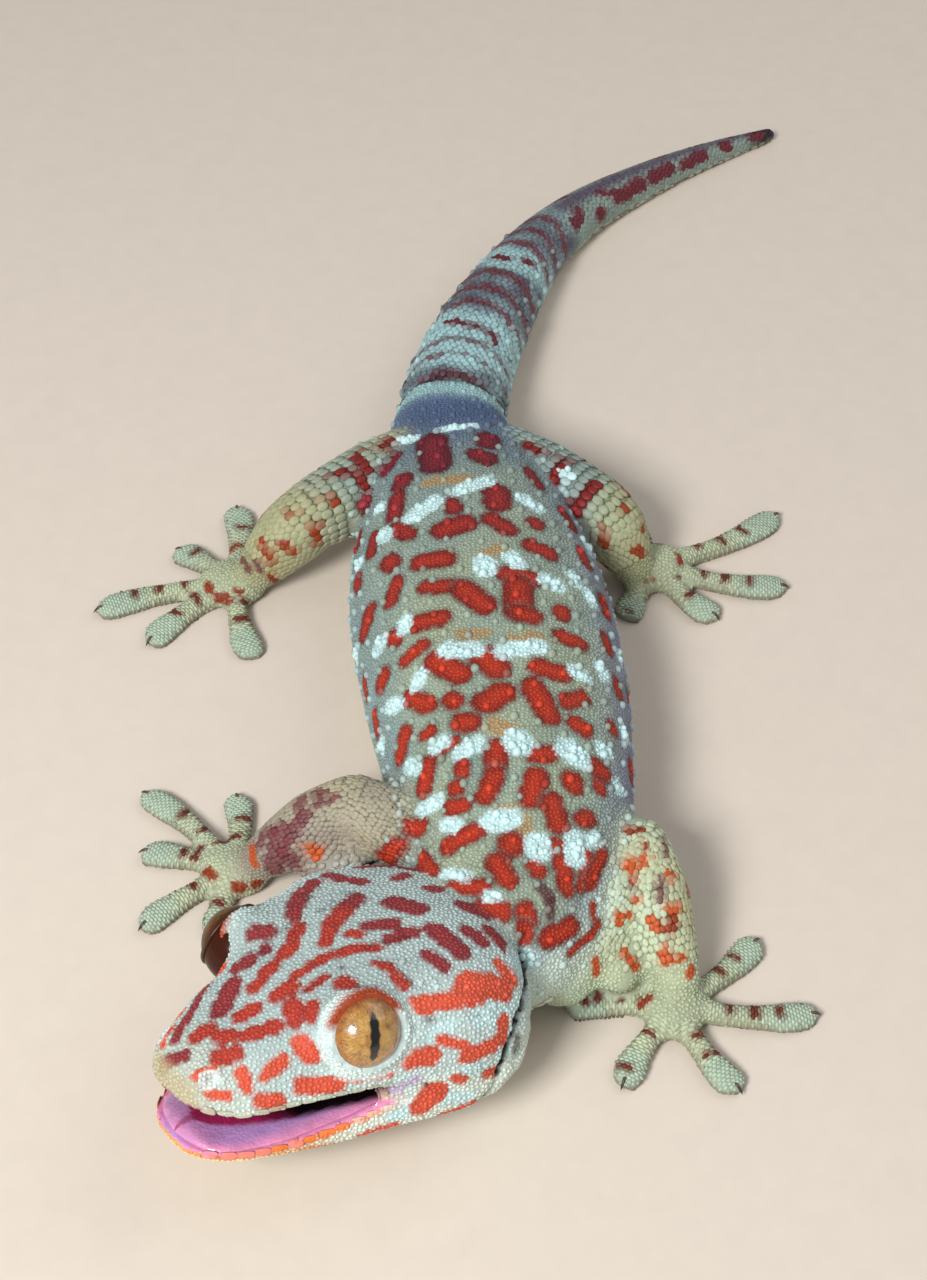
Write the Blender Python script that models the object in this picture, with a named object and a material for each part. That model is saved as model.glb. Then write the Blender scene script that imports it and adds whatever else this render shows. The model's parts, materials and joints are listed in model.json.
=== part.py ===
"""A tokay gecko at life size, resting on a floor with its head turned to its own right.

All sizes are in millimetres; add_object() turns them into metres. The floor is z = 0. The origin is on the
floor under the middle of the belly, the head points to -Y, the tail to +Y, and the gecko's left is +X.
"""
import math
import random

import bmesh
import bpy
import numpy as np
from mathutils import Matrix, Vector
from mathutils.geometry import intersect_point_line

MM = 0.001
GAP = 0.3            # space kept between neighbouring pieces
FLOOR = 0.0

# Stations along the back from inside the skull to the tail tip:
# x, y, half-width, height of the back, height of the underside (below the floor, it becomes a flat)
BODY = [
    (-12.0, -72.0, 9.5, 18.0, 6.5),
    (-4.5, -67.0, 12.0, 20.5, 4.5),
    (2.4, -60.5, 14.4, 22.0, 1.2),
    (4.8, -51.0, 16.2, 23.2, 0.0),
    (4.4, -38.0, 18.0, 24.2, -0.9),
    (2.4, -21.0, 20.0, 24.4, -1.0),
    (-0.6, 0.0, 20.2, 23.6, -1.0),
    (-2.9, 20.0, 16.4, 21.4, -0.9),
    (-4.4, 33.0, 12.6, 18.0, -0.6),
    (-4.8, 43.0, 9.8, 15.4, -0.5),
    (-2.6, 58.0, 9.0, 13.8, -0.5),
    (2.4, 74.4, 7.9, 12.2, -0.5),
    (9.6, 91.6, 6.2, 10.0, -0.5),
    (19.0, 105.6, 4.9, 8.0, -0.4),
    (31.8, 117.4, 3.8, 6.3, -0.4),
    (45.0, 127.0, 2.7, 4.7, -0.3),
    (59.0, 135.5, 1.5, 2.8, -0.2),
]
WIDEST = 0.42        # height of the widest level, as a share of the section
BODY_ROUND = 2.25    # superellipse power of the body's section

# Where the body is parted, as station numbers of the list above: neck, torso, three lengths of tail
PARTS = [
    ("neck", 0.1, 2.6, 10, 28),
    ("torso", 2.6, 8.9, 24, 28),
    ("tail_base", 8.9, 11.4, 10, 22),
    ("tail_middle", 11.4, 13.6, 8, 18),
    ("tail_tip", 13.6, 16.0, 8, 14),
]

# The head in its own frame: x back from the snout tip, y to the gecko's right, z up from the lip line.
# Stations: x, half-width at the lips, height of the top, depth of the lower jaw
HEAD = [
    (0.0, 2.6, 3.0, 1.2),
    (0.5, 4.4, 4.8, 2.2),
    (2.0, 6.6, 6.4, 3.2),
    (5.0, 8.8, 7.8, 4.0),
    (10.0, 11.2, 9.4, 4.6),
    (16.0, 13.4, 11.6, 5.8),
    (22.0, 15.4, 13.4, 7.6),
    (28.0, 18.2, 14.8, 9.2),
    (35.0, 20.2, 15.2, 9.8),
    (40.5, 19.4, 14.6, 9.0),
    (44.8, 17.4, 13.4, 7.4),
    (48.0, 14.0, 11.6, 5.4),
    (50.4, 9.4, 9.2, 3.4),
    (51.4, 5.6, 7.4, 2.0),
]
HEAD_LENGTH = 51.4
JAW_LENGTH = 48.0
SNOUT_PLACE = (-39.9, -94.1, 18.0)     # the snout tip at the lip line
HEAD_YAW = math.radians(216.0)         # the snout's direction in plan
HEAD_PITCH = math.radians(12.0)        # snout up
HEAD_ROLL = math.radians(-16.0)        # left side up
MOUTH_CORNER = 27.5
GAPE = 6.2                             # opening between the lips at the snout
LIP_ARCH = 1.3
LIP_RIDGE = 0.35                       # how far the lips stand out of the cheek
LIP_SAG = 0.5
JOWL = 1.8                             # how far the jaw bulges under the lips at the back
MOUTH_BULGE = (18.0, 8.0, 1.1)         # and beside the mouth: place, reach, push
JAW_START = 0.2                        # the jaw's tip lies this far behind the snout's
LIP = 1.3                              # thickness of the lips
PALATE_VAULT = 2.0                     # depth of the mouth's roof above the lip line
MOUTH_FLOOR = 1.6                      # depth of the recess inside the lower lip

EYE_RADIUS = 5.3
EYE_PLACE = (21.6, 11.9, 8.9)
EYE_AXIS = (-0.22, 0.91, 0.35)         # the way the pupil looks
EYE_SIDES = 16
RIM_THICKNESS = 0.5                    # flesh around the eyeball
RIM_RADIUS = 4.65                      # the opening the eye looks out of
DOME_RADIUS = 5.9                      # the head swells into a dome this far from the eyeball's middle
DOME_SHARPNESS = 7
SOFT_VOXEL = 0.6
SOFT_ROUNDS = 7
HEAD_FACES = 2300

# Swellings (place, reach, push) on the right side of the head; the left side mirrors them
SWELLINGS = [
    ((22.6, 9.6, 13.4), 8.0, (0.0, 1.0, 2.0)),      # brow over the eye
    ((21.6, 14.5, 5.0), 6.5, (0.0, 0.5, 0.0)),      # eye's lower rim
    ((10.0, 6.6, 7.8), 4.0, (0.0, 0.5, 0.6)),       # ridge from nostril to eye
    ((15.0, 10.6, 4.6), 5.0, (0.0, -0.9, 0.0)),     # hollow in front of the eye
    ((3.6, 4.0, 5.6), 2.0, (-0.2, 0.5, 0.7)),       # nostril's swollen rim
    ((34.0, 13.5, 6.5), 8.0, (0.0, 1.3, 0.6)),      # jaw muscle
    ((12.5, 0.0, 9.8), 4.5, (0.0, 0.0, -0.5)),      # dip between the snout ridges
    ((23.0, 0.0, 13.0), 5.0, (0.0, 0.0, -0.6)),     # hollow between the brows
]
NOSTRIL_PLACE = (3.4, 5.4, 6.0)
NOSTRIL_RADIUS = 0.75
EAR_PLACE = (42.0, 18.6, 0.3)
EAR_SIZE = (1.0, 2.6, 2.8)

# Limbs: joints as (x, y, z), then the toe tips from the inner toe to the outer one
LIMBS = {
    "arm_left": {
        "kind": "arm",
        "root": (10.8, -65.8, 6.6), "bend": (21.6, -50.8, 12.6), "end": (27.0, -67.0, 4.8),
        "palm": (26.4, -69.8),
        "toes": [(11.6, -69.0), (18.8, -81.6), (34.6, -82.4), (46.4, -70.4), (39.2, -58.0)],
    },
    "arm_right": {
        "kind": "arm",
        "root": (-4.0, -50.5, 9.5), "bend": (-18.0, -43.6, 13.0), "end": (-32.0, -46.8, 4.8),
        "palm": (-35.6, -46.6),
        "toes": [(-38.0, -57.6), (-48.6, -56.0), (-49.8, -42.6), (-50.6, -31.6), (-36.6, -32.0)],
    },
    "leg_left": {
        "kind": "leg",
        "root": (0.0, 32.5, 9.5), "bend": (19.4, 17.6, 11.5), "end": (24.8, 12.6, 4.6),
        "palm": (28.4, 14.2),
        "toes": [(23.6, 3.8), (38.2, 4.0), (50.0, 10.8), (50.2, 27.6), (24.6, 26.0)],
    },
    "leg_right": {
        "kind": "leg",
        "root": (-8.0, 32.0, 9.5), "bend": (-27.2, 16.6, 11.5), "end": (-36.0, 11.2, 4.6),
        "palm": (-40.0, 10.8),
        "toes": [(-35.8, -4.6), (-52.8, -1.4), (-61.8, 5.6), (-50.0, 19.4), (-40.8, 29.4)],
    },
}
# Radii of the limb's two lengths at root, middle and end, the palm's half sizes, the toe's half widths
LIMB_SIZES = {
    "arm": {"upper": (6.2, 5.8, 5.0), "lower": (5.0, 5.3, 3.4), "palm": (5.2, 4.4, 2.7), "toe": (1.5, 2.35)},
    "leg": {"upper": (7.0, 6.9, 5.8), "lower": (5.6, 5.5, 3.8), "palm": (5.6, 4.8, 2.9), "toe": (1.6, 2.6)},
}
LIMB_NAMES = {
    "arm": ("upper_arm", "forearm", "hand"),
    "leg": ("thigh", "shank", "foot"),
}
# A toe from root to tip: share of its length, share of the way from narrow to wide pad, height
TOE = [
    (0.00, 0.20, 3.4),
    (0.30, 0.00, 2.7),
    (0.52, 0.35, 2.2),
    (0.72, 0.95, 2.0),
    (0.88, 1.00, 1.8),
    (0.97, 0.20, 1.4),
]
TOE_SIDES = 8

# Tubercles: base radius, height and depth of the root, and their rows as angles from the left flank
TUBERCLE_SIDES = 6
TUBERCLE_ROOT = 0.5
TUBERCLES = {
    "torso": {
        "rows": (20, 40, 58, 74, 106, 122, 140, 160), "first": 2.95, "last": 8.6, "spacing": 6.6,
        "sizes": ((1.25, 0.75), (1.05, 0.65), (0.9, 0.55)),
    },
    "tail_base": {
        "rows": (24, 52, 76, 104, 128, 156), "first": 9.2, "last": 11.2, "spacing": 6.8,
        "sizes": ((1.3, 1.0), (1.1, 0.9)),
    },
}
SEED = 7
TUBERCLE_CLEARANCE = 8.5               # from the middle of a limb
CLAW_LENGTH = 2.0
CLAW_RADIUS = 0.5


def smooth_rows(rows, places):
    """Values at the given row numbers, on a Catmull-Rom curve through the rows."""
    table = np.array(rows, float)
    last = len(table) - 1
    padded = np.vstack([2 * table[0] - table[1], table, 2 * table[-1] - table[-2]])
    found = []
    for place in np.atleast_1d(places):
        i = min(int(place), last - 1)
        t = place - i
        before, start, end, after = padded[i:i + 4]
        found.append(0.5 * (2 * start + (end - before) * t
                            + (2 * before - 5 * start + 4 * end - after) * t ** 2
                            + (3 * start - before - 3 * end + after) * t ** 3))
    return np.array(found)


def signed_power(value, power):
    return math.copysign(abs(value) ** power, value)


def skin_rings(rings, name, ends=(None, None)):
    """A closed mesh object through rings of points. Each end is a flat cap, or a fan to the point given."""
    bm = bmesh.new()
    layers = [[bm.verts.new(Vector(point) * MM) for point in ring] for ring in rings]
    count = len(layers[0])
    for below, above in zip(layers, layers[1:]):
        for i in range(count):
            j = (i + 1) % count
            bm.faces.new((below[i], below[j], above[j], above[i]))
    for layer, point in zip((layers[0], layers[-1]), ends):
        if point is None:
            bm.faces.new(layer)
            continue
        pole = bm.verts.new(Vector(point) * MM)
        for i in range(count):
            bm.faces.new((layer[i], layer[(i + 1) % count], pole))
    bmesh.ops.recalc_face_normals(bm, faces=bm.faces)
    return add_object(bm, name)


def on_floor(ring):
    return [Vector((p.x, p.y, max(p.z, FLOOR))) for p in ring]


def add_object(bm, name):
    bmesh.ops.triangulate(bm, faces=[face for face in bm.faces if len(face.verts) > 4])
    mesh = bpy.data.meshes.new(name)
    bm.to_mesh(mesh)
    bm.free()
    mesh.shade_smooth()
    obj = bpy.data.objects.new(name, mesh)
    bpy.context.scene.collection.objects.link(obj)
    return obj


def remove(*objects):
    for obj in objects:
        bpy.data.objects.remove(obj)


def grown(obj, by=GAP):
    """A copy of a piece whose surface stands a little further out, as a cutter."""
    bm = bmesh.new()
    bm.from_mesh(obj.data)
    bm.normal_update()
    moves = [vert.normal * (vert.calc_shell_factor() * by * MM) for vert in bm.verts]
    for vert, move in zip(bm.verts, moves):
        vert.co += move
    return add_object(bm, obj.name + "_cutter")


def apply_boolean(obj, operation, others, solver="EXACT"):
    """Applies one Boolean with a collection of closed meshes, and removes them."""
    group = bpy.data.collections.new("boolean_group")
    bpy.context.scene.collection.children.link(group)
    for other in others:
        bpy.context.scene.collection.objects.unlink(other)
        group.objects.link(other)
    modifier = obj.modifiers.new("join", "BOOLEAN")
    modifier.operation = operation
    modifier.operand_type = "COLLECTION"
    modifier.collection = group
    modifier.solver = solver
    graph = bpy.context.evaluated_depsgraph_get()
    mesh = bpy.data.meshes.new_from_object(obj.evaluated_get(graph))
    obj.modifiers.clear()
    obj.data = mesh
    remove(*others)
    bpy.data.collections.remove(group)
    keep_largest(obj)


def keep_largest(obj):
    """Drops every closed surface of a piece but the one with the most volume."""
    bm = bmesh.new()
    bm.from_mesh(obj.data)
    bmesh.ops.triangulate(bm, faces=bm.faces)
    unseen = set(bm.verts)
    islands = []
    while unseen:
        stack = [unseen.pop()]
        island = set(stack)
        while stack:
            for edge in stack.pop().link_edges:
                for vert in edge.verts:
                    if vert in unseen:
                        unseen.discard(vert)
                        island.add(vert)
                        stack.append(vert)
        islands.append(island)

    def volume(island):
        faces = {face for vert in island for face in vert.link_faces}
        return abs(sum(f.verts[0].co.dot(f.verts[1].co.cross(f.verts[2].co)) for f in faces))

    islands.sort(key=volume)
    bmesh.ops.delete(bm, geom=[vert for island in islands[:-1] for vert in island], context="VERTS")
    bm.to_mesh(obj.data)
    bm.free()


def finish(obj, colour, roughness):
    material = bpy.data.materials.get(obj.name) or bpy.data.materials.new(obj.name)
    material.use_nodes = True
    shader = material.node_tree.nodes["Principled BSDF"]
    shader.inputs["Base Color"].default_value = (*colour, 1.0)
    shader.inputs["Roughness"].default_value = roughness
    obj.data.materials.clear()
    obj.data.materials.append(material)


def body_frame(place):
    """Middle of the back's line, its sideways direction, half-width, top and underside at a station number."""
    x, y, half_width, top, under = smooth_rows(BODY, place)[0]
    step = 0.02
    ahead = smooth_rows(BODY, min(place + step, len(BODY) - 1))[0]
    behind = smooth_rows(BODY, max(place - step, 0))[0]
    along = Vector((ahead[0] - behind[0], ahead[1] - behind[1], 0)).normalized()
    return Vector((x, y, 0)), Vector((along.y, -along.x, 0)), half_width, top, under


def body_point(place, angle):
    """A point of the body's surface; the angle runs from the gecko's left (0) over the back."""
    middle, side, half_width, top, under = body_frame(place)
    level = under + WIDEST * (top - under)
    across = half_width * signed_power(math.cos(angle), 2 / BODY_ROUND)
    lift = signed_power(math.sin(angle), 2 / BODY_ROUND)
    z = level + lift * (top - level if lift > 0 else level - under)
    return middle + side * across + Vector((0, 0, max(z, FLOOR)))


def body_length(name, start, end, rings, sides):
    """A length of the body between two station numbers, with flat ends."""
    half_gap = [GAP / 2 / (station_length(place)) for place in (start, end)]
    first = start + half_gap[0]
    last = end - (0 if name == "tail_tip" else half_gap[1])
    layers = [[body_point(place, 2 * math.pi * i / sides) for i in range(sides)]
              for place in np.linspace(first, last, rings)]
    tip = None
    if name == "tail_tip":
        middle, _, _, top, _ = body_frame(end)
        tip = middle + Vector((1.3, 0.8, 0.42 * top))
    return skin_rings(layers, name, (None, tip))


def station_length(place):
    """Millimetres of the back's line for one station at this place."""
    i = min(int(place), len(BODY) - 2)
    return math.dist(BODY[i][:2], BODY[i + 1][:2])


def head_matrix():
    """Turns the head's own frame, with x running back from the snout, into the gecko's."""
    yaw = Matrix.Rotation(HEAD_YAW - math.pi, 4, "Z")
    pitch = Matrix.Rotation(HEAD_PITCH, 4, "Y")
    roll = Matrix.Rotation(HEAD_ROLL, 4, "X")
    return Matrix.Translation(SNOUT_PLACE) @ yaw @ pitch @ roll


def head_values(x):
    """Half-width, top and jaw depth of the head at x."""
    stations = [row[0] for row in HEAD]
    i = max(j for j, station in enumerate(stations) if station <= x or j == 0)
    i = min(i, len(stations) - 2)
    place = i + (x - stations[i]) / (stations[i + 1] - stations[i])
    for _ in range(4):      # the smooth rows bend x a little, so the place is refined
        place -= (smooth_rows(HEAD, place)[0][0] - x) / (stations[i + 1] - stations[i])
        place = min(max(place, 0.0), len(stations) - 1.0)
    return smooth_rows(HEAD, place)[0][1:]


def lip_height(x):
    """The lip line: arched under the snout, with a slight sag along the mouth, then level."""
    sag = math.sin(math.pi * min(x, MOUTH_CORNER) / MOUTH_CORNER)
    return LIP_ARCH * math.exp(-(x / 5.0) ** 2) - LIP_SAG * sag


def gape_at(x):
    return GAP + (GAPE - GAP) * max(0.0, 1 - x / MOUTH_CORNER)


def swell(point):
    """Moves a point of the head by the named swellings and out of the domes round the eyes."""
    moved = Vector(point)
    for side in (1, -1):
        for place, reach, push in SWELLINGS:
            if side == -1 and place[1] == 0:
                continue
            centre = Vector((place[0], side * place[1], place[2]))
            share = math.exp(-((Vector(point) - centre).length / reach) ** 2 * 2)
            moved += share * Vector((push[0], side * push[1], push[2]))
        centre = Vector((EYE_PLACE[0], side * EYE_PLACE[1], EYE_PLACE[2]))
        away = moved - centre
        reach = (away.length ** DOME_SHARPNESS + DOME_RADIUS ** DOME_SHARPNESS) ** (1 / DOME_SHARPNESS)
        if side * point[1] > 0:
            moved = centre + away.normalized() * reach
    return moved


def head_stations(length, count):
    """Stations that crowd towards the snout, where it is blunt."""
    return [length * (1 - math.cos(0.5 * math.pi * i / (count - 1))) ** 1.1 for i in range(count)]


def cranium_ring(x, upper_sides):
    half_width, top, _ = head_values(x)
    lip = lip_height(x)
    open_share = min(1.0, max(0.0, (MOUTH_CORNER - x) / 5.0)) * min(1.0, max(0.0, (x - 1.5) / 3.0))
    power = 2 / (2.15 + 0.35 * min(1.0, x / 20))
    ring = []
    for i in range(upper_sides + 1):
        angle = math.pi * i / upper_sides
        across = half_width * signed_power(math.cos(angle), power)
        if i in (0, 1, upper_sides - 1, upper_sides):
            across += math.copysign(LIP_RIDGE * open_share, across)
        ring.append(swell((x, across, lip + (top - lip) * signed_power(math.sin(angle), power))))
    inner = max(half_width - LIP, 0.6 * half_width)
    for share, vault in ((1.0, 0.0), (0.93, 1.0), (0.4, 1.15), (-0.4, 1.15), (-0.93, 1.0), (-1.0, 0.0)):
        ring.append(Vector((x, -share * inner, lip + vault * PALATE_VAULT * open_share)))
    return ring


def jaw_ring(x, lower_sides):
    half_width, _, depth = head_values(x)
    half_width *= 0.97
    place, reach, push = MOUTH_BULGE
    jowl = JOWL * min(1.0, max(0.0, (x - 8.0) / 20.0)) + push * math.exp(-((x - place) / reach) ** 2)
    top = lip_height(x) - gape_at(x)
    open_share = min(1.0, max(0.0, (MOUTH_CORNER - x) / 5.0)) * min(1.0, max(0.0, (x - 2.0) / 2.5))
    ring = []
    for i in range(lower_sides + 1):
        angle = math.pi * i / lower_sides
        across = half_width * signed_power(math.cos(angle), 2 / 2.4)
        across += math.copysign(jowl * math.sin(2 * min(angle, math.pi - angle)), math.cos(angle))
        if i in (0, lower_sides):
            across += math.copysign(LIP_RIDGE * open_share, across)
        ring.append(Vector((x, across, top - depth * signed_power(math.sin(angle), 2 / 2.4))))
    inner = max(half_width - LIP, 0.6 * half_width)
    for share, floor in ((1.0, 0.0), (0.92, 1.0), (-0.92, 1.0), (-1.0, 0.0)):
        ring.append(Vector((x, -share * inner, top - floor * MOUTH_FLOOR * open_share)))
    return ring


def tongue_ring(x, sides):
    """The mouth's soft floor, domed in the middle, which lies in the lower jaw's recess."""
    half_width = head_values(x)[0] * 0.97
    inner = 0.92 * max(half_width - LIP, 0.6 * half_width) - GAP
    top = lip_height(x) - gape_at(x)
    floor = top - MOUTH_FLOOR + GAP
    dome = min(0.9, 0.45 * gape_at(x) + 0.2)
    ring = [Vector((x, inner, floor)), Vector((x, -inner, floor))]
    for i in range(sides + 1):
        angle = math.pi * (1 - i / sides)
        rise = math.sin(angle) ** 0.6
        ring.append(Vector((x, inner * math.cos(angle), floor + 0.7 + (top + dome - floor - 0.7) * rise)))
    return ring


def make_head():
    matrix = head_matrix()
    upper = [[matrix @ p for p in cranium_ring(x, 20)] for x in head_stations(HEAD_LENGTH, 25)]
    cranium = skin_rings([on_floor(ring) for ring in upper], "head")
    places = [JAW_START + x for x in head_stations(JAW_LENGTH - JAW_START, 18)]
    lower = [[matrix @ p for p in jaw_ring(x, 12)] for x in places]
    jaw = skin_rings([on_floor(ring) for ring in lower], "lower_jaw")
    places = [5.2 + (MOUTH_CORNER - 5.8 - 5.2) * i / 9 for i in range(10)]
    tongue = skin_rings([[matrix @ p for p in tongue_ring(x, 8)] for x in places], "tongue")
    return cranium, jaw, tongue


def ball(name, centre, radius, sides, matrix=Matrix.Identity(4)):
    bm = bmesh.new()
    bmesh.ops.create_uvsphere(bm, u_segments=sides, v_segments=sides * 2 // 3, radius=1.0)
    sizes = (radius,) * 3 if isinstance(radius, (int, float)) else radius
    local = Matrix.Translation(centre) @ Matrix.Diagonal((*sizes, 1.0))
    bm.transform(Matrix.Scale(MM, 4) @ matrix @ local)
    return add_object(bm, name)


def eye_opening(place, axis, matrix):
    """A cone that opens the flesh in front of the eyeball."""
    axis = axis.normalized()
    across = axis.cross(Vector((0, 0, 1))).normalized()
    up = across.cross(axis)
    rings = []
    for reach, radius in ((0.5, RIM_RADIUS - 0.2), (3.2, RIM_RADIUS), (9.0, RIM_RADIUS + 3.0)):
        ring = []
        for i in range(EYE_SIDES):
            angle = 2 * math.pi * i / EYE_SIDES
            offset = across * math.cos(angle) + up * math.sin(angle)
            ring.append(matrix @ (Vector(place) + axis * reach + offset * radius))
        rings.append(ring)
    return skin_rings(rings, "opening")


def tubercle(place, angle, radius, height, turn):
    """A low cone on the back, with its root sunk into the skin."""
    foot = body_point(place, angle)
    along = (body_point(place + 0.02, angle) - body_point(place - 0.02, angle)).normalized()
    across = (body_point(place, angle + 0.03) - body_point(place, angle - 0.03)).normalized()
    out = across.cross(along).normalized()
    if out.z < 0:
        out = -out
    wide = radius * (height + TUBERCLE_ROOT) / height
    ring = []
    for i in range(TUBERCLE_SIDES):
        swing = turn + 2 * math.pi * i / TUBERCLE_SIDES
        offset = along * math.cos(swing) + across * math.sin(swing)
        ring.append(foot - out * TUBERCLE_ROOT + offset * wide)
    return skin_rings([ring], "tubercle", (None, foot + out * height))


def limb_distance(point):
    """How far a point is from the nearest limb's middle line."""
    distances = []
    for limb in LIMBS.values():
        for start, end in (("root", "bend"), ("bend", "end")):
            near, share = intersect_point_line(point, Vector(limb[start]), Vector(limb[end]))
            near = Vector(limb[start]).lerp(Vector(limb[end]), min(max(share, 0.0), 1.0))
            distances.append((point - near).length)
    return min(distances)


def add_tubercles(obj, rule, shuffle):
    """Fuses staggered rows of tubercles onto a length of the body, clear of the limb roots."""
    cones = []
    for number, row in enumerate(rule["rows"]):
        place = rule["first"] + 0.5 * (number % 2) * rule["spacing"] / station_length(rule["first"])
        while place < rule["last"]:
            spot = min(place + shuffle.uniform(-0.03, 0.03), rule["last"])
            angle = math.radians(row + shuffle.uniform(-3, 3))
            foot = body_point(spot, angle)
            if limb_distance(foot) > TUBERCLE_CLEARANCE:
                radius, height = shuffle.choice(rule["sizes"])
                cones.append(tubercle(spot, angle, radius, height, shuffle.uniform(0, 1)))
            place += rule["spacing"] / station_length(place)
    apply_boolean(obj, "UNION", cones)


def soften(obj, faces):
    """Melts the joins of a fused piece into smooth flesh, then thins the mesh to the number of faces."""
    remesh = obj.modifiers.new("remesh", "REMESH")
    remesh.mode = "VOXEL"
    remesh.voxel_size = SOFT_VOXEL * MM
    melt = obj.modifiers.new("melt", "SMOOTH")
    melt.factor = 0.5
    melt.iterations = SOFT_ROUNDS
    graph = bpy.context.evaluated_depsgraph_get()
    count = len(obj.evaluated_get(graph).data.polygons) * 2
    thin = obj.modifiers.new("thin", "DECIMATE")
    thin.ratio = faces / count
    graph = bpy.context.evaluated_depsgraph_get()
    mesh = bpy.data.meshes.new_from_object(obj.evaluated_get(graph))
    obj.modifiers.clear()
    obj.data = mesh
    keep_largest(obj)


def fit_head(cranium, jaw, neck, torso):
    """Cuts the sockets, nostrils and ears, and clears the neck and shoulder of the skull."""
    matrix = head_matrix()
    mounds = []
    ears = []
    cutters = []
    eyes = []
    for side, word in ((1, "right"), (-1, "left")):
        def place(spot):
            return (spot[0], side * spot[1], spot[2])
        eyes.append(ball("eye_" + word, place(EYE_PLACE), EYE_RADIUS, EYE_SIDES, matrix))
        mounds.append(ball("mound", place(EYE_PLACE), EYE_RADIUS + GAP + RIM_THICKNESS, EYE_SIDES, matrix))
        cutters.append(ball("socket", place(EYE_PLACE), EYE_RADIUS + GAP, EYE_SIDES, matrix))
        cutters.append(eye_opening(place(EYE_PLACE), Vector(place(EYE_AXIS)), matrix))
        cutters.append(ball("nostril", place(NOSTRIL_PLACE), NOSTRIL_RADIUS, 8, matrix))
        cutters.append(ball("ear", place(EAR_PLACE), EAR_SIZE, 8, matrix))
        ears.append(ball("ear", place(EAR_PLACE), EAR_SIZE, 8, matrix))
    apply_boolean(cranium, "UNION", mounds)
    soften(cranium, HEAD_FACES)
    for piece in (neck, torso):
        apply_boolean(piece, "DIFFERENCE", [grown(cranium), grown(jaw)])
    apply_boolean(cranium, "DIFFERENCE", cutters)
    apply_boolean(jaw, "DIFFERENCE", ears)
    return eyes


def tube(name, path, radii, sides, rings, flatten=1.0):
    """A limb's length with round ends through (x, y, z) points, with a radius at each."""
    rows = [(*point, radius) for point, radius in zip(path, radii)]
    last = len(rows) - 1
    layers = []
    for i in range(rings):
        share = i / (rings - 1)
        place = last * (0.5 - 0.5 * math.cos(math.pi * share))
        x, y, z, radius = smooth_rows(rows, place)[0]
        behind = smooth_rows(rows, max(place - 0.05, 0))[0]
        ahead = smooth_rows(rows, min(place + 0.05, last))[0]
        along = Vector(ahead[:3] - behind[:3]).normalized()
        side = along.cross(Vector((0, 0, 1))).normalized()
        up = side.cross(along)
        ring = []
        for j in range(sides):
            angle = 2 * math.pi * j / sides
            offset = side * math.cos(angle) + up * math.sin(angle) * flatten
            ring.append(Vector((x, y, z)) + offset * radius)
        layers.append((Vector((x, y, z)), along, radius, ring))
    start, end = layers[0], layers[-1]
    rounded = []
    for share in (0.55, 0.9):
        bulge = math.sqrt(1 - share ** 2)
        rounded.append((share, bulge))
    head = [[start[0] - start[1] * start[2] * share + (p - start[0]) * bulge for p in start[3]]
            for share, bulge in reversed(rounded)]
    tail = [[end[0] + end[1] * end[2] * share + (p - end[0]) * bulge for p in end[3]]
            for share, bulge in rounded]
    loops = head + [layer[3] for layer in layers] + tail
    loops = [on_floor(loop) for loop in loops]
    poles = (start[0] - start[1] * start[2], end[0] + end[1] * end[2])
    return skin_rings(loops, name, poles)


def toe(name, start, tip, widths):
    """A toe with its wide climbing pad, flat on the floor."""
    narrow, wide = widths
    along = (Vector((*tip, 0)) - Vector((*start, 0)))
    length = along.length
    along.normalize()
    side = Vector((along.y, -along.x, 0))
    bow = 0.05 * length
    layers = []
    for share, spread, height in TOE:
        half = narrow + (wide - narrow) * spread
        middle = Vector((*start, 0)) + along * (length * share) + side * (bow * math.sin(math.pi * share))
        ring = []
        for i in range(TOE_SIDES):
            angle = 2 * math.pi * (i + 0.5) / TOE_SIDES
            across = half * signed_power(math.cos(angle), 0.8)
            z = height * (0.38 + 0.62 * signed_power(math.sin(angle), 0.8))
            ring.append(middle + side * across + Vector((0, 0, max(z, FLOOR))))
        layers.append(ring)
    end = Vector((*tip, 0.5))
    return skin_rings(layers, name, (None, end)), along


def claw(name, tip, along):
    """A short hooked claw over the end of a toe."""
    root = Vector((*tip, 1.25)) - along * 1.4
    side = Vector((along.y, -along.x, 0))
    point = root + along * (CLAW_LENGTH + 0.5) + Vector((0, 0, -0.75))
    ring = [root + side * (CLAW_RADIUS * math.cos(a)) + Vector((0, 0, CLAW_RADIUS * math.sin(a)))
            for a in (2 * math.pi * i / 6 for i in range(6))]
    middle = [root + along * 1.3 + Vector((0, 0, 0.05)) + (p - root) * 0.75 for p in ring]
    return skin_rings([ring, middle], name, (None, point))


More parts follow.
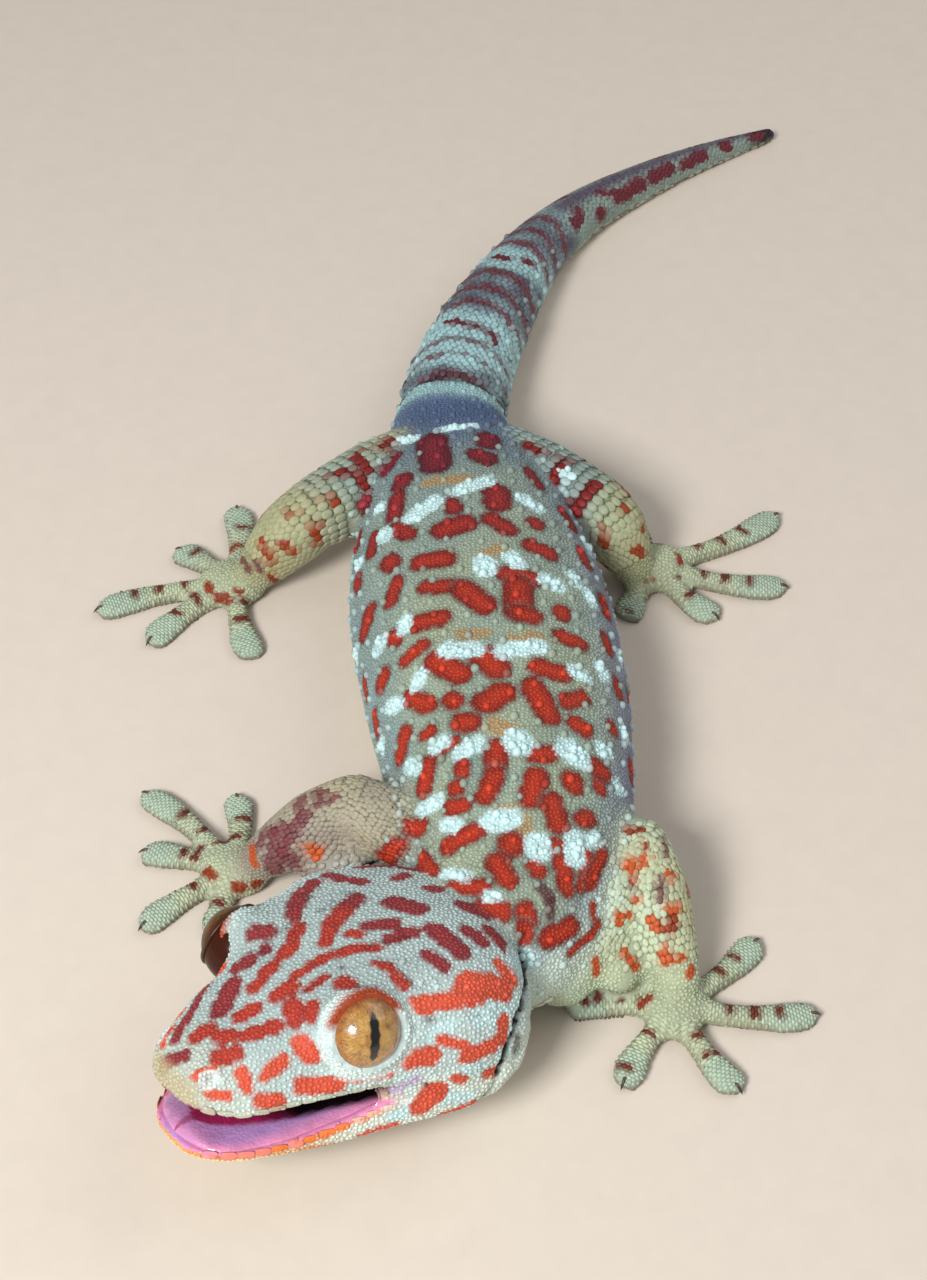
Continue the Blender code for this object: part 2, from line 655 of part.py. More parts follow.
def make_limb(name, limb):
    """Upper length, lower length and the hand or foot of one limb."""
    sizes = LIMB_SIZES[limb["kind"]]
    side = name.split("_")[1]
    upper_name, lower_name, foot_name = (word + "_" + side for word in LIMB_NAMES[limb["kind"]])
    root, bend, end = (Vector(limb[key]) for key in ("root", "bend", "end"))
    upper = tube(upper_name, [root, root.lerp(bend, 0.5) + Vector((0, 0, 0.8)), bend], sizes["upper"], 12, 7)
    lower = tube(lower_name, [bend, bend.lerp(end, 0.45) + Vector((0, 0, 0.6)), end], sizes["lower"], 12, 7)
    palm_middle = Vector((*limb["palm"], 1.9))
    long_way = math.atan2(palm_middle.y - end.y, palm_middle.x - end.x)
    turn = Matrix.Translation(palm_middle) @ Matrix.Rotation(long_way, 4, "Z")
    palm = ball(foot_name, (0, 0, 0), sizes["palm"], 14, turn)
    for vert in palm.data.vertices:
        vert.co.z = max(vert.co.z, FLOOR)
    pieces = []
    for number, tip in enumerate(limb["toes"]):
        start = palm_middle.lerp(Vector((*tip, 1.9)), 0.12)
        piece, along = toe("toe", (start.x, start.y), tip, sizes["toe"])
        pieces.append(piece)
        if number > 0:
            pieces.append(claw("claw", tip, along))
    palm_cutter = grown(palm)
    apply_boolean(palm, "UNION", pieces)
    apply_boolean(lower, "DIFFERENCE", [palm_cutter])
    return upper, lower, palm


def main():
    for obj in list(bpy.data.objects):
        bpy.data.objects.remove(obj)
    body = {part[0]: body_length(*part) for part in PARTS}
    cranium, jaw, tongue = make_head()
    eyes = fit_head(cranium, jaw, body["neck"], body["torso"])
    whole = body_length("whole", 0.55, 15.9, 60, 32)
    skin = (0.42, 0.52, 0.50)
    for name, limb in LIMBS.items():
        upper, lower, foot = make_limb(name, limb)
        apply_boolean(lower, "DIFFERENCE", [grown(whole)])
        apply_boolean(upper, "DIFFERENCE", [grown(piece) for piece in (whole, lower, foot, cranium, jaw)])
        for piece in (upper, lower, foot):
            finish(piece, skin, 0.6)
    remove(whole)
    shuffle = random.Random(SEED)
    for name, rule in TUBERCLES.items():
        add_tubercles(body[name], rule, shuffle)
    for piece in (*body.values(), cranium, jaw):
        finish(piece, skin, 0.6)
    finish(tongue, (0.75, 0.35, 0.55), 0.35)
    for eye in eyes:
        finish(eye, (0.70, 0.42, 0.12), 0.1)


main()
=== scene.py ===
# %% [markdown]
# # A tokay gecko, scale by scale
# This lesson dresses the plain solids of a life-size tokay gecko. The solids give the true shape and
# place of the animal, and nothing here moves or resizes them. The first cell loads them as a fixed frame:
# every later piece is built in the same metres, so it fits without any adjusting.

# %% Load the frame
import json
import math
import random

import bmesh
import bpy
import numpy as np
from mathutils import Matrix, Vector, noise
from mathutils.bvhtree import BVHTree

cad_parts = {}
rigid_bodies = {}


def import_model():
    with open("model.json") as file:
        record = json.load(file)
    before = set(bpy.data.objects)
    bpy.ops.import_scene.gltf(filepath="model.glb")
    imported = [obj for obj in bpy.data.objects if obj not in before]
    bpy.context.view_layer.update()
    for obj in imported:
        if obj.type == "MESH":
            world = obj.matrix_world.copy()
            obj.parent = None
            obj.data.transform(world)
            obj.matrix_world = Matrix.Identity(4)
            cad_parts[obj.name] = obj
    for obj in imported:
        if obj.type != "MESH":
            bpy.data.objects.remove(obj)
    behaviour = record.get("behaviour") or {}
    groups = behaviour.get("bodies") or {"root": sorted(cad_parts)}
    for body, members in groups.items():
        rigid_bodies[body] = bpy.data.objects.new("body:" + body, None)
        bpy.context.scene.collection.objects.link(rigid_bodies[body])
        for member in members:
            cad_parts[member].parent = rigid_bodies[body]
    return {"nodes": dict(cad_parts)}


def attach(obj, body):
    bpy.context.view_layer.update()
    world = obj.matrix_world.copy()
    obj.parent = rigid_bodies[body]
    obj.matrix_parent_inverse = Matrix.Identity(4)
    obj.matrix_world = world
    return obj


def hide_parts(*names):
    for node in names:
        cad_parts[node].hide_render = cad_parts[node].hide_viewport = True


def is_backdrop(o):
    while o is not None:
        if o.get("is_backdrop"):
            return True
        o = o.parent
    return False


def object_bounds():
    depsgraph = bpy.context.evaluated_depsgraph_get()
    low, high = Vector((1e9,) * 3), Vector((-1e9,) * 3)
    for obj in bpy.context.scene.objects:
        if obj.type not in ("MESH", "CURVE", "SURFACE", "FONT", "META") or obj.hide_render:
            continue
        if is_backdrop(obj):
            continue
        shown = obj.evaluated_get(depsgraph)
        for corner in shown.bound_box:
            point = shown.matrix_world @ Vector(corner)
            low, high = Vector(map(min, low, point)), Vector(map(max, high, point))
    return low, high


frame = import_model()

MM = 0.001
for leftover in [o for o in bpy.data.objects if o.type != "EMPTY" and o.name not in frame["nodes"]]:
    bpy.data.objects.remove(leftover)
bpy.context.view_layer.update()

# %% [markdown]
# ## Camera, light and floor
# The photograph looks down at the gecko from in front of its head, from close by, so the head looms
# large. A lens of about 62 mm on a 36 mm sensor, tipped 48 degrees below the horizon, gives that view. A
# studio for a small animal is simple: one large soft light in front, a wide fill from behind, a pale
# floor and pale air.

# %% Camera, light and floor
VIEW_PLACE = (-0.0026, -0.2353, 0.2614)
VIEW_TILT = math.radians(42)
VIEW_LENS = 61.875
# The lights: where each stands, what it is aimed at, the side of its square in metres, and its watts
LIGHTS = {
    "key": ((-0.28, -0.42, 0.48), (0, -0.02, 0), 0.2, 4.3),
    "fill": ((0.5, 0.25, 0.55), (0, 0, 0), 0.6, 1.3),
}
AIR_TINT = (0.93, 0.95, 1.0, 1)
AIR_POWER = 0.36
FLOOR_REACH = 3           # metres from the middle of the floor to its edges


def linear(code):
    """A colour from its six-digit screen code, as the light values that shaders use."""
    values = np.array([int(code[i:i + 2], 16) for i in (0, 2, 4)]) / 255
    return np.where(values <= 0.04045, values / 12.92, ((values + 0.055) / 1.055) ** 2.4)


def tones(codes):
    """A book of colours by name from their screen codes."""
    return {name: linear(code) for name, code in codes.items()}


def solid(code):
    """A colour from its six-digit screen code, with its fourth value, as a socket takes it."""
    return (*linear(code), 1)


def new_object(name, data):
    """An object in the scene that holds the given mesh, lamp or lens."""
    obj = bpy.data.objects.new(name, data)
    bpy.context.scene.collection.objects.link(obj)
    return obj


def add_light(name, place, aim, size, power):
    lamp = bpy.data.lights.new(name, "AREA")
    lamp.size = size
    lamp.energy = power
    obj = new_object(name, lamp)
    obj.location = place
    obj.rotation_euler = (Vector(aim) - Vector(place)).to_track_quat("-Z", "Y").to_euler()


lens = bpy.data.cameras.new("camera")
lens.lens = VIEW_LENS
lens.sensor_width = 36
lens.clip_start = 0.01
camera = new_object("camera", lens)
camera.location = VIEW_PLACE
camera.rotation_euler = (VIEW_TILT, 0, 0)
bpy.context.scene.camera = camera
bpy.context.scene.view_settings.view_transform = "Standard"

for name, values in LIGHTS.items():
    add_light(name, *values)
world = bpy.data.worlds.new("studio air")
world.use_nodes = True
world.node_tree.nodes["Background"].inputs["Color"].default_value = AIR_TINT
world.node_tree.nodes["Background"].inputs["Strength"].default_value = AIR_POWER
bpy.context.scene.world = world

floor_mesh = bpy.data.meshes.new("floor")
floor_corners = [(x * FLOOR_REACH, y * FLOOR_REACH, 0) for x, y in ((-1, -1), (1, -1), (1, 1), (-1, 1))]
floor_mesh.from_pydata(floor_corners, [], [(0, 1, 2, 3)])
floor = new_object("floor", floor_mesh)
floor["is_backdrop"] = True
print("camera at", VIEW_PLACE, "with a", VIEW_LENS, "mm lens")

# %% [markdown]
# ## The body plan
# Everything that grows on the gecko is placed by the animal's own measures: millimetres along the back
# and degrees round from its ridge, millimetres back from the snout and degrees round from the crown, or a
# share of the way along a limb. This cell repeats the few driving sizes of the solids that these measures
# need.

# %% The body plan
# Stations of the back: x, y, half-width, height of the back, height of the underside
BACK = [
    (-12.0, -72.0, 9.5, 18.0, 6.5), (-4.5, -67.0, 12.0, 20.5, 4.5), (2.4, -60.5, 14.4, 22.0, 1.2),
    (4.8, -51.0, 16.2, 23.2, 0.0), (4.4, -38.0, 18.0, 24.2, -0.9), (2.4, -21.0, 20.0, 24.4, -1.0),
    (-0.6, 0.0, 20.2, 23.6, -1.0), (-2.9, 20.0, 16.4, 21.4, -0.9), (-4.4, 33.0, 12.6, 18.0, -0.6),
    (-4.8, 43.0, 9.8, 15.4, -0.5), (-2.6, 58.0, 9.0, 13.8, -0.5), (2.4, 74.4, 7.9, 12.2, -0.5),
    (9.6, 91.6, 6.2, 10.0, -0.5), (19.0, 105.6, 4.9, 8.0, -0.4), (31.8, 117.4, 3.8, 6.3, -0.4),
    (45.0, 127.0, 2.7, 4.7, -0.3), (59.0, 135.5, 1.5, 2.8, -0.2),
]
WIDEST = 0.42
# Stations of the head: back from the snout, half-width at the lips
LIP_WIDTHS = [(0, 2.6), (0.5, 4.4), (2, 6.6), (5, 8.8), (10, 11.2), (16, 13.4), (22, 15.4), (28, 18.2)]
SNOUT = Vector((-39.9, -94.1, 18.0))
HEAD_TURNS = (math.radians(36), math.radians(12), math.radians(-16))      # yaw, pitch, roll
CROWN_AXIS = 2.0          # height of the line that the head's degrees are measured round
MOUTH_CORNER = 27.5
GAPE = 6.2
EYE_PLACE = Vector((21.6, 11.9, 8.9))
EYE_AXIS = Vector((-0.22, 0.91, 0.35)).normalized()
EYE_RADIUS = 5.3
RIM_RADIUS = 4.65
NOSTRIL = Vector((3.1, 5.9, 6.0))
EAR = Vector((42.0, 18.6, 0.3))
EAR_SIZE = (1.6, 1.6, 2.6)
# Limbs: shoulder or hip, elbow or knee, wrist or ankle, palm, and the toe tips from the inner one out
LIMBS = {
    "arm_left": ((10.8, -65.8, 6.6), (21.6, -50.8, 12.6), (27.0, -67.0, 4.8), (26.4, -69.8),
                 [(11.6, -69.0), (18.8, -81.6), (34.6, -82.4), (46.4, -70.4), (39.2, -58.0)]),
    "arm_right": ((-4.0, -50.5, 9.5), (-18.0, -43.6, 13.0), (-32.0, -46.8, 4.8), (-35.6, -46.6),
                  [(-38.0, -57.6), (-48.6, -56.0), (-49.8, -42.6), (-50.6, -31.6), (-36.6, -32.0)]),
    "leg_left": ((0.0, 32.5, 9.5), (19.4, 17.6, 11.5), (24.8, 12.6, 4.6), (28.4, 14.2),
                 [(23.6, 3.8), (38.2, 4.0), (50.0, 10.8), (50.2, 27.6), (24.6, 26.0)]),
    "leg_right": ((-8.0, 32.0, 9.5), (-27.2, 16.6, 11.5), (-36.0, 11.2, 4.6), (-40.0, 10.8),
                  [(-35.8, -4.6), (-52.8, -1.4), (-61.8, 5.6), (-50.0, 19.4), (-40.8, 29.4)]),
}
LIMB_NODES = {"arm": ("upper_arm", "forearm", "hand"), "leg": ("thigh", "shank", "foot")}


def smooth_rows(rows, places):
    """Values at the given row numbers, on a smooth curve through the rows."""
    table = np.array(rows, float)
    padded = np.vstack([2 * table[0] - table[1], table, 2 * table[-1] - table[-2]])
    places = np.atleast_1d(np.asarray(places, float))
    i = np.clip(places.astype(int), 0, len(table) - 2)
    t = (places - i)[:, None]
    before, start, end, after = (padded[i + k] for k in range(4))
    return 0.5 * (2 * start + (end - before) * t + (2 * before - 5 * start + 4 * end - after) * t ** 2
                  + (3 * start - before - 3 * end + after) * t ** 3)


back_rows = smooth_rows(BACK, np.linspace(0, len(BACK) - 1, 641))
back_line = back_rows[:, :2]
back_along = np.concatenate([[0], np.cumsum(np.linalg.norm(np.diff(back_line, axis=0), axis=1))])
back_heading = np.gradient(back_line, axis=0)
back_heading /= np.linalg.norm(back_heading, axis=1, keepdims=True)
yaw, pitch, roll = HEAD_TURNS
head_matrix = (Matrix.Translation(SNOUT) @ Matrix.Rotation(yaw, 4, "Z") @ Matrix.Rotation(pitch, 4, "Y")
               @ Matrix.Rotation(roll, 4, "X"))
head_turn = head_matrix.to_3x3()
print(f"the back's line is {back_along[-1]:.0f} mm long from inside the skull to the tail tip")

# %% [markdown]
# ## One skin
# A real gecko has no seams where a thigh meets the body, so the many solids of flesh become one skin.
# Each is copied and swollen a little until it closes the hairline gap to its neighbour, a little flesh is
# added in the bends of the folded arms, and a voxel remesh melts all of them into one surface, whose
# steps are smoothed away. The eyeballs join in too, so that the skin closes behind each eye.

# %% One skin
CLOSE_GAPS = 0.2
SHARPEST = 1.6            # most that a sharp corner moves, as a multiple of that
SKIN_VOXEL = 0.36
FINE_ROUNDS = 4
# Flesh in the bends of the folded arms: middle and half-sizes in mm
ARM_FLESH = [((18.5, -62.0, 6.0), (5.0, 8.0, 4.5)), ((19.5, -65.0, 4.0), (6.0, 2.7, 3.2)),
             ((23.0, -62.0, 5.5), (4.0, 5.0, 4.6)), ((-20.0, -48.5, 7.0), (7.0, 5.0, 5.0))]
EYES = ("eye_left", "eye_right")
FLESH = [name for name in frame["nodes"] if name not in (*EYES, "tongue")]


def swollen_copy(bm, node, by):
    """Adds a solid's merged mesh in millimetres, with its surface moved out."""
    part = bmesh.new()
    part.from_mesh(frame["nodes"][node].data)
    bmesh.ops.remove_doubles(part, verts=part.verts, dist=1e-6)
    part.normal_update()
    first = len(bm.verts)
    for vert in part.verts:
        bm.verts.new((vert.co / MM) + vert.normal * (min(vert.calc_shell_factor(), SHARPEST) * by))
    bm.verts.ensure_lookup_table()
    for face in part.faces:
        bm.faces.new([bm.verts[first + vert.index] for vert in face.verts])
    part.free()


def read_points(mesh):
    """The places of a mesh's points, as the rows of an array."""
    values = np.zeros(len(mesh.vertices) * 3, np.float32)
    mesh.vertices.foreach_get("co", values)
    return values.reshape(-1, 3).astype(float)


def evaluated_mesh(obj):
    """The object's mesh with its modifiers worked in, as a new plain mesh."""
    graph = bpy.context.evaluated_depsgraph_get()
    return bpy.data.meshes.new_from_object(obj.evaluated_get(graph))


def new_mesh(name, bm):
    """A plain mesh from a shape in the making, which is then let go."""
    mesh = bpy.data.meshes.new(name)
    bm.to_mesh(mesh)
    bm.free()
    return mesh


def add_remesh(name, spacing):
    modifier = skin.modifiers.new(name, "REMESH")
    modifier.mode = "VOXEL"
    modifier.voxel_size = spacing


def add_smoothing(name, rounds, group=""):
    modifier = skin.modifiers.new(name, "SMOOTH")
    modifier.factor = 0.5
    modifier.iterations = rounds
    modifier.vertex_group = group


def work_in_modifiers():
    skin.data = evaluated_mesh(skin)
    skin.modifiers.clear()


gathered = bmesh.new()
for node in FLESH:
    swollen_copy(gathered, node, CLOSE_GAPS)
for node in EYES:
    swollen_copy(gathered, node, 0)
for middle, half_sizes in ARM_FLESH:
    placed = Matrix.Translation(middle) @ Matrix.Diagonal((*half_sizes, 1))
    bmesh.ops.create_uvsphere(gathered, u_segments=24, v_segments=16, radius=1.0, matrix=placed)
skin = new_object("skin", new_mesh("raw_skin", gathered))
add_remesh("melt together", SKIN_VOXEL)
add_smoothing("ease", FINE_ROUNDS)
work_in_modifiers()
print("melted skin:", len(skin.data.vertices), "points")

# %% [markdown]
# ## Which part each point belongs to
# The colours, the scales and the amount of smoothing differ between head, back and toes. A search tree
# over the faces of all the solids finds the nearest one for each point of the skin, which names the part
# that the point belongs to. The body and the limbs are then smoothed further than the finely cut head,
# hands and feet, and a second remesh with a little smoothing spaces the points of the finished skin
# evenly.

# %% Which part each point belongs to
BROAD_ROUNDS = 30
JAW_SMOOTHING = 0.3       # the share of those rounds that the lower jaw gets
EVEN_VOXEL = 0.62         # the spacing of the finished skin's points
SETTLE_ROUNDS = 2
FINE_PARTS = ("head", "hand_left", "hand_right", "foot_left", "foot_right")


def nearest_parts(points):
    """The nearest solid of flesh for each point, as a number into FLESH."""
    corners = []
    owners = []
    for number, node in enumerate(FLESH):
        mesh = frame["nodes"][node].data
        at = read_points(mesh) / MM
        index = np.zeros(len(mesh.polygons) * 3, np.int32)
        mesh.polygons.foreach_get("vertices", index)
        corners.append(at[index])
        owners += [number] * len(mesh.polygons)
    at = np.vstack(corners)
    tree = BVHTree.FromPolygons([Vector(p) for p in at], np.arange(len(at)).reshape(-1, 3).tolist())
    return np.array([owners[tree.find_nearest(Vector(p))[2]] for p in points])


def node_ids(*words):
    """The numbers of the solids whose names hold one of the words."""
    return {i for i, name in enumerate(FLESH) if any(word in name for word in words)}


def part_mask(*words):
    """The points of the skin that belong to those solids."""
    return np.isin(parts, list(node_ids(*words)))


parts = nearest_parts(read_points(skin.data))
broad = skin.vertex_groups.new(name="broad")
for number, node in enumerate(FLESH):
    if node not in FINE_PARTS:
        strength = JAW_SMOOTHING if node == "lower_jaw" else 1.0
        broad.add([int(i) for i in np.nonzero(parts == number)[0]], strength, "REPLACE")
add_smoothing("round off", BROAD_ROUNDS, "broad")
add_remesh("even out", EVEN_VOXEL)
add_smoothing("settle", SETTLE_ROUNDS)
skin.modifiers.new("three-sided", "TRIANGULATE")
work_in_modifiers()
skin.vertex_groups.clear()
parts = nearest_parts(read_points(skin.data))
print("skin:", len(skin.data.vertices), "points,", len(skin.data.polygons), "faces")

# %% [markdown]
# ## Measures on the skin
# These helpers turn the animal's own measures into points of the skin. A ray goes from outside towards
# the middle line of the back, the head or a limb, and the point where it meets the skin is the place.

# %% Measures on the skin
OUTSIDE_HEAD = 24         # mm from the line that the head's degrees are measured round
OUTSIDE_BACK = 5          # mm outside the back's own half-width and height


def skin_tree():
    mesh = skin.data
    return BVHTree.FromPolygons([v.co for v in mesh.vertices], [p.vertices for p in mesh.polygons])


def back_frame(along):
    """Middle, side, heading, half-width, top and underside of the body at a distance along the back."""
    i = int(np.clip(np.searchsorted(back_along, along), 0, len(back_along) - 1))
    heading = back_heading[i]
    half_width, top, under = back_rows[i, 2:]
    return (Vector((*back_line[i], under + WIDEST * (top - under))), Vector((heading[1], -heading[0], 0)),
            Vector((*heading, 0)), half_width, top, under)


def on_back(along, degrees):
    """The skin at a distance along the back, and degrees from the ridge towards the gecko's left."""
    middle, side, _, half_width, top, under = back_frame(along)
    turn = math.radians(degrees)
    lift = top - middle.z if math.cos(turn) > 0 else middle.z - max(under, 0)
    reach = side * (math.sin(turn) * half_width) + Vector((0, 0, math.cos(turn) * lift))
    outside = middle + reach.normalized() * (reach.length + OUTSIDE_BACK)
    hit = tree.ray_cast(outside, -reach.normalized(), 3 * OUTSIDE_BACK)[0]
    return hit or middle + reach


def on_head(x, degrees):
    """The skin at a distance back from the snout, and degrees from the crown towards the gecko's left."""
    turn = math.radians(degrees)
    ray = Vector((0, -math.sin(turn), math.cos(turn)))
    start = head_matrix @ (Vector((x, 0, CROWN_AXIS)) + ray * OUTSIDE_HEAD)
    hit = tree.ray_cast(start, -(head_turn @ ray), OUTSIDE_HEAD)[0]
    return hit or head_matrix @ (Vector((x, 0, CROWN_AXIS)) + ray * (OUTSIDE_HEAD / 3))


def head_place(place, side):
    """A place of the head's own frame as a point of the model; the left side is -1, the right one 1."""
    return head_matrix @ Vector((place.x, side * place.y, place.z))


def nearest_on_back(points):
    """The number of the nearest station of the back's line for each point."""
    chunks = np.array_split(points, max(1, len(points) // 2000))
    return np.concatenate([np.argmin(((chunk[:, None, :2] - back_line[None]) ** 2).sum(2), axis=1)
                           for chunk in chunks])


def back_measures(points):
    """Distance along the back and degrees from its ridge for each point."""
    nearest = nearest_on_back(points)
    rows = back_rows[nearest]
    heading = back_heading[nearest]
    aside = ((points[:, 0] - rows[:, 0]) * heading[:, 1] - (points[:, 1] - rows[:, 1]) * heading[:, 0])
    level = rows[:, 4] + WIDEST * (rows[:, 3] - rows[:, 4])
    above = points[:, 2] - level
    lift = np.where(above > 0, rows[:, 3] - level, level - rows[:, 4])
    return back_along[nearest], np.degrees(np.arctan2(aside / rows[:, 2], above / lift))


def head_measures(points):
    """Place in the head's own frame and degrees from the crown for each point."""
    inverse = np.array(head_matrix.inverted())
    local = points @ inverse[:3, :3].T + inverse[:3, 3]
    return local, np.degrees(np.arctan2(-local[:, 1], local[:, 2] - CROWN_AXIS))


def ruffle(points, size, seed):
    """A soft random value from about -1 to 1 at each point, with swellings of the given size."""
    shift = Vector((seed * 17.3, seed * 5.1, seed * 9.7))
    return np.array([noise.noise(Vector(p) / size + shift) for p in points])


def distance_to(points, start, end):
    """How far each point is from the stroke between two points."""
    start, end = np.array(start, float), np.array(end, float)
    line = end - start
    share = np.clip((points - start) @ line / max(line @ line, 1e-9), 0, 1)
    return np.linalg.norm(points - start - share[:, None] * line, axis=1)


tree = skin_tree()
print("top of the back at 60 mm:", on_back(60, 0), " crown at 30 mm:", on_head(30, 0))

# %% [markdown]
# ## Folds, furrows and rims
# Some forms are too small for the solids and too large for a bump in the material: the creases over the
# brow, the fold of loose skin behind the jaw, the swollen ring round each eye, the nostrils, and the
# pinches near the root of the tail. Each is a stroke or a spot on the skin, and the points near it are
# pushed in or out with a soft edge. The upper lip is raised over the rear of the mouth, so that its dark
# gap shows, and the eye on the far side stands further forward, with a hollow over it and a fuller temple
# behind it.

# %% Folds, furrows and rims
# Creases of the left side of the head: from (mm back, degrees) to (mm back, degrees), half-width, depth
HEAD_CREASES = [
    (18, 27, 23, 26, 0.45, 0.35), (23, 26, 28.3, 33, 0.45, 0.4), (28.3, 33, 29.5, 50, 0.4, 0.35),
    (22.5, 20, 28, 22, 0.35, 0.35), (28, 22, 33.5, 27, 0.35, 0.35), (29, 66, 36, 72, 0.5, 0.4),
    (17, 24, 22.5, 20, 0.35, 0.3), (29, 36, 36, 38, 0.35, 0.25), (30, 52, 38, 54, 0.4, 0.25),
    (27, 95, 33, 104, 0.5, 0.3), (30, 88, 37, 92, 0.5, 0.25), (4.6, 30, 9, 34, 0.4, 0.2),
]
JAW_FOLD = [
    (50, 52), (48.5, 64), (46.5, 77), (44.5, 79), (42, 83), (39.5, 91), (38.5, 100), (36, 112), (33, 124),
]
JAW_FOLD_WIDTH, JAW_FOLD_DEPTH = 0.75, 0.8
# Along the back, half-width, depth
TAIL_PINCHES = [(126.8, 1.0, 0.7), (139.5, 0.6, 0.3), (146.5, 0.6, 0.3), (154, 0.6, 0.28), (162, 0.6, 0.26)]
LIP_LIFT = 1.35            # the upper lip is raised this far over the rear half of the mouth
BROW = (Vector((23.5, 10.5, 12.8)), 3.2, -1.0)     # a slack place above each eye: where, how wide, how deep
FAR_SIDE = [(Vector((22.5, 14.2, 13.5)), 3.2, -1.2), (Vector((30.5, 13.0, 12.5)), 5.0, 1.1)]
EYE_SHIFTS = {-1: Vector((0, 0, 0)), 1: Vector((-1.7, 0.7, -1.0))}     # the far eye is rolled forwards
EYE_RINGS = ((0.6, 0.55, 0.35), (1.9, 0.4, -0.2))      # distance outside the rim, half-width, height
NECK_FOLDS = [(20, 48, 30, 62, 0.7, 0.5), (22, 62, 30, 74, 0.6, 0.4), (20, -50, 29, -62, 0.7, 0.5)]


def between(values, low, high):
    """How far each value has come from low to high, as a share from 0 to 1."""
    return np.clip((values - low) / (high - low), 0, 1)


def push(distance, width, by):
    """Moves the skin's points out (or in, for a negative value) by an amount that fades with distance."""
    points[:] += normals * (by * np.exp(-(distance / width) ** 2))[:, None]


def away_from(place):
    """The distance of each point of the skin from a place."""
    return np.linalg.norm(points - np.array(place), axis=1)


def skin_normals():
    """Which way is out at each point of the skin."""
    values = np.zeros(len(skin.data.vertices) * 3, np.float32)
    skin.data.vertex_normals.foreach_get("vector", values)
    return values.reshape(-1, 3).astype(float)


points = read_points(skin.data)
normals = skin_normals()
head_local, head_degrees = head_measures(points)
back_mm, back_degrees = back_measures(points)
is_head = part_mask("head", "lower_jaw")
is_body = part_mask("neck", "torso", "tail")


def jaw_fold(skip=0):
    """The strokes of the fold behind the jaw, on both sides, as pairs of points on the skin."""
    lines = [[on_head(x, side * a) for x, a in JAW_FOLD[skip:]] for side in (1, -1)]
    return [pair for line in lines for pair in zip(line, line[1:])]


def eye_measures(eye):
    """For each point: its depth along the eye's gaze, its distance from that axis, and its height."""
    centre, gaze, _, up = (np.array(v) for v in eye)
    offset = points - centre
    depth = offset @ gaze
    return depth, np.linalg.norm(offset - depth[:, None] * gaze, axis=1), offset @ up


def nostril_distance(side):
    """How far each point is from the middle of a nostril."""
    return away_from(head_place(NOSTRIL, side))


def lip_line(x):
    """The height of the upper lip of the solid at a distance back from the snout."""
    return 1.3 * np.exp(-(x / 5.0) ** 2) - 0.5 * np.sin(np.pi * np.minimum(x, MOUTH_CORNER) / MOUTH_CORNER)


def lip_lift(x):
    """How far the upper lip is raised."""
    return LIP_LIFT * between(x, 4, 12) * (1 - between(x, 22, MOUTH_CORNER + 1.5))


above_lip = head_local[:, 2] - lip_line(head_local[:, 0])
lift = (parts == FLESH.index("head")) * lip_lift(head_local[:, 0]) * (1 - between(above_lip, 0.5, 5.5))
points += lift[:, None] * np.array(head_turn @ Vector((0, 0, 1)))
for x0, a0, x1, a1, width, depth in HEAD_CREASES:
    for side in (1, -1):
        away = distance_to(points, on_head(x0, side * a0), on_head(x1, side * a1))
        push(away, width, -depth)
for start, end in jaw_fold():
    push(distance_to(points, start, end), JAW_FOLD_WIDTH, -JAW_FOLD_DEPTH)
for along0, a0, along1, a1, width, depth in NECK_FOLDS:
    push(distance_to(points, on_back(along0, a0), on_back(along1, a1)), width, -depth)
for along, width, depth in TAIL_PINCHES:
    push(np.where(is_body, np.abs(back_mm - along), 99), width, -depth)
for place, width, by in FAR_SIDE:
    push(away_from(head_matrix @ place), width, by)
eye_frames = []
for side in (-1, 1):        # the gecko's left is the head's -y
    push(away_from(head_place(BROW[0], side)), *BROW[1:])
    centre = head_matrix @ (Vector((EYE_PLACE.x, side * EYE_PLACE.y, EYE_PLACE.z)) + EYE_SHIFTS[side])
    gaze = head_turn @ Vector((EYE_AXIS.x, side * EYE_AXIS.y, EYE_AXIS.z))
    across = gaze.cross(head_turn @ Vector((0, 0, 1))).normalized()
    eye_frames.append((centre, gaze, across, across.cross(gaze)))
    depth, radius, _ = eye_measures(eye_frames[-1])
    outer = (depth > 1) & (depth < 7)
    for outside, width, by in EYE_RINGS:
        push(np.where(outer, np.abs(radius - RIM_RADIUS - outside), 99), width, by)
    away = nostril_distance(side)
    push(np.abs(away - 1.35), 0.4, 0.25)
    push(away, 0.65, -1.1)
print("eyes look along", [tuple(round(v, 2) for v in eye[1]) for eye in eye_frames])

# %% [markdown]
# ## Sink the skin under the coat
# The solids end where the tips of the scales end. The skin itself lies a little deeper, by the height of
# the scales that grow on it, which is less on the hands and feet, and nothing may dip below the floor.

# %% Sink the skin under the coat
COAT_DEPTH = 0.42
TOE_DEPTH = 0.16
FLOOR_CLEARANCE = 0.04
hands = part_mask("hand", "foot")
points -= normals * np.where(hands, TOE_DEPTH, COAT_DEPTH)[:, None]
points[:, 2] = np.maximum(points[:, 2], FLOOR_CLEARANCE)
skin.data.vertices.foreach_set("co", points.astype(np.float32).ravel())
skin.data.update()
normals = skin_normals()
tree = skin_tree()
print("skin height", round(points[:, 2].max(), 1), "mm")

# %% [markdown]
# ## The ground colours
# The gecko is grey-green on the back, violet at the rump and along the left flank, yellow-green on the
# limbs, turquoise on the toes and pale below. Each point of the skin gets the colour of its part as an
# attribute. Neighbouring points then share their colours a few dozen times, so that one ground melts into
# the next.

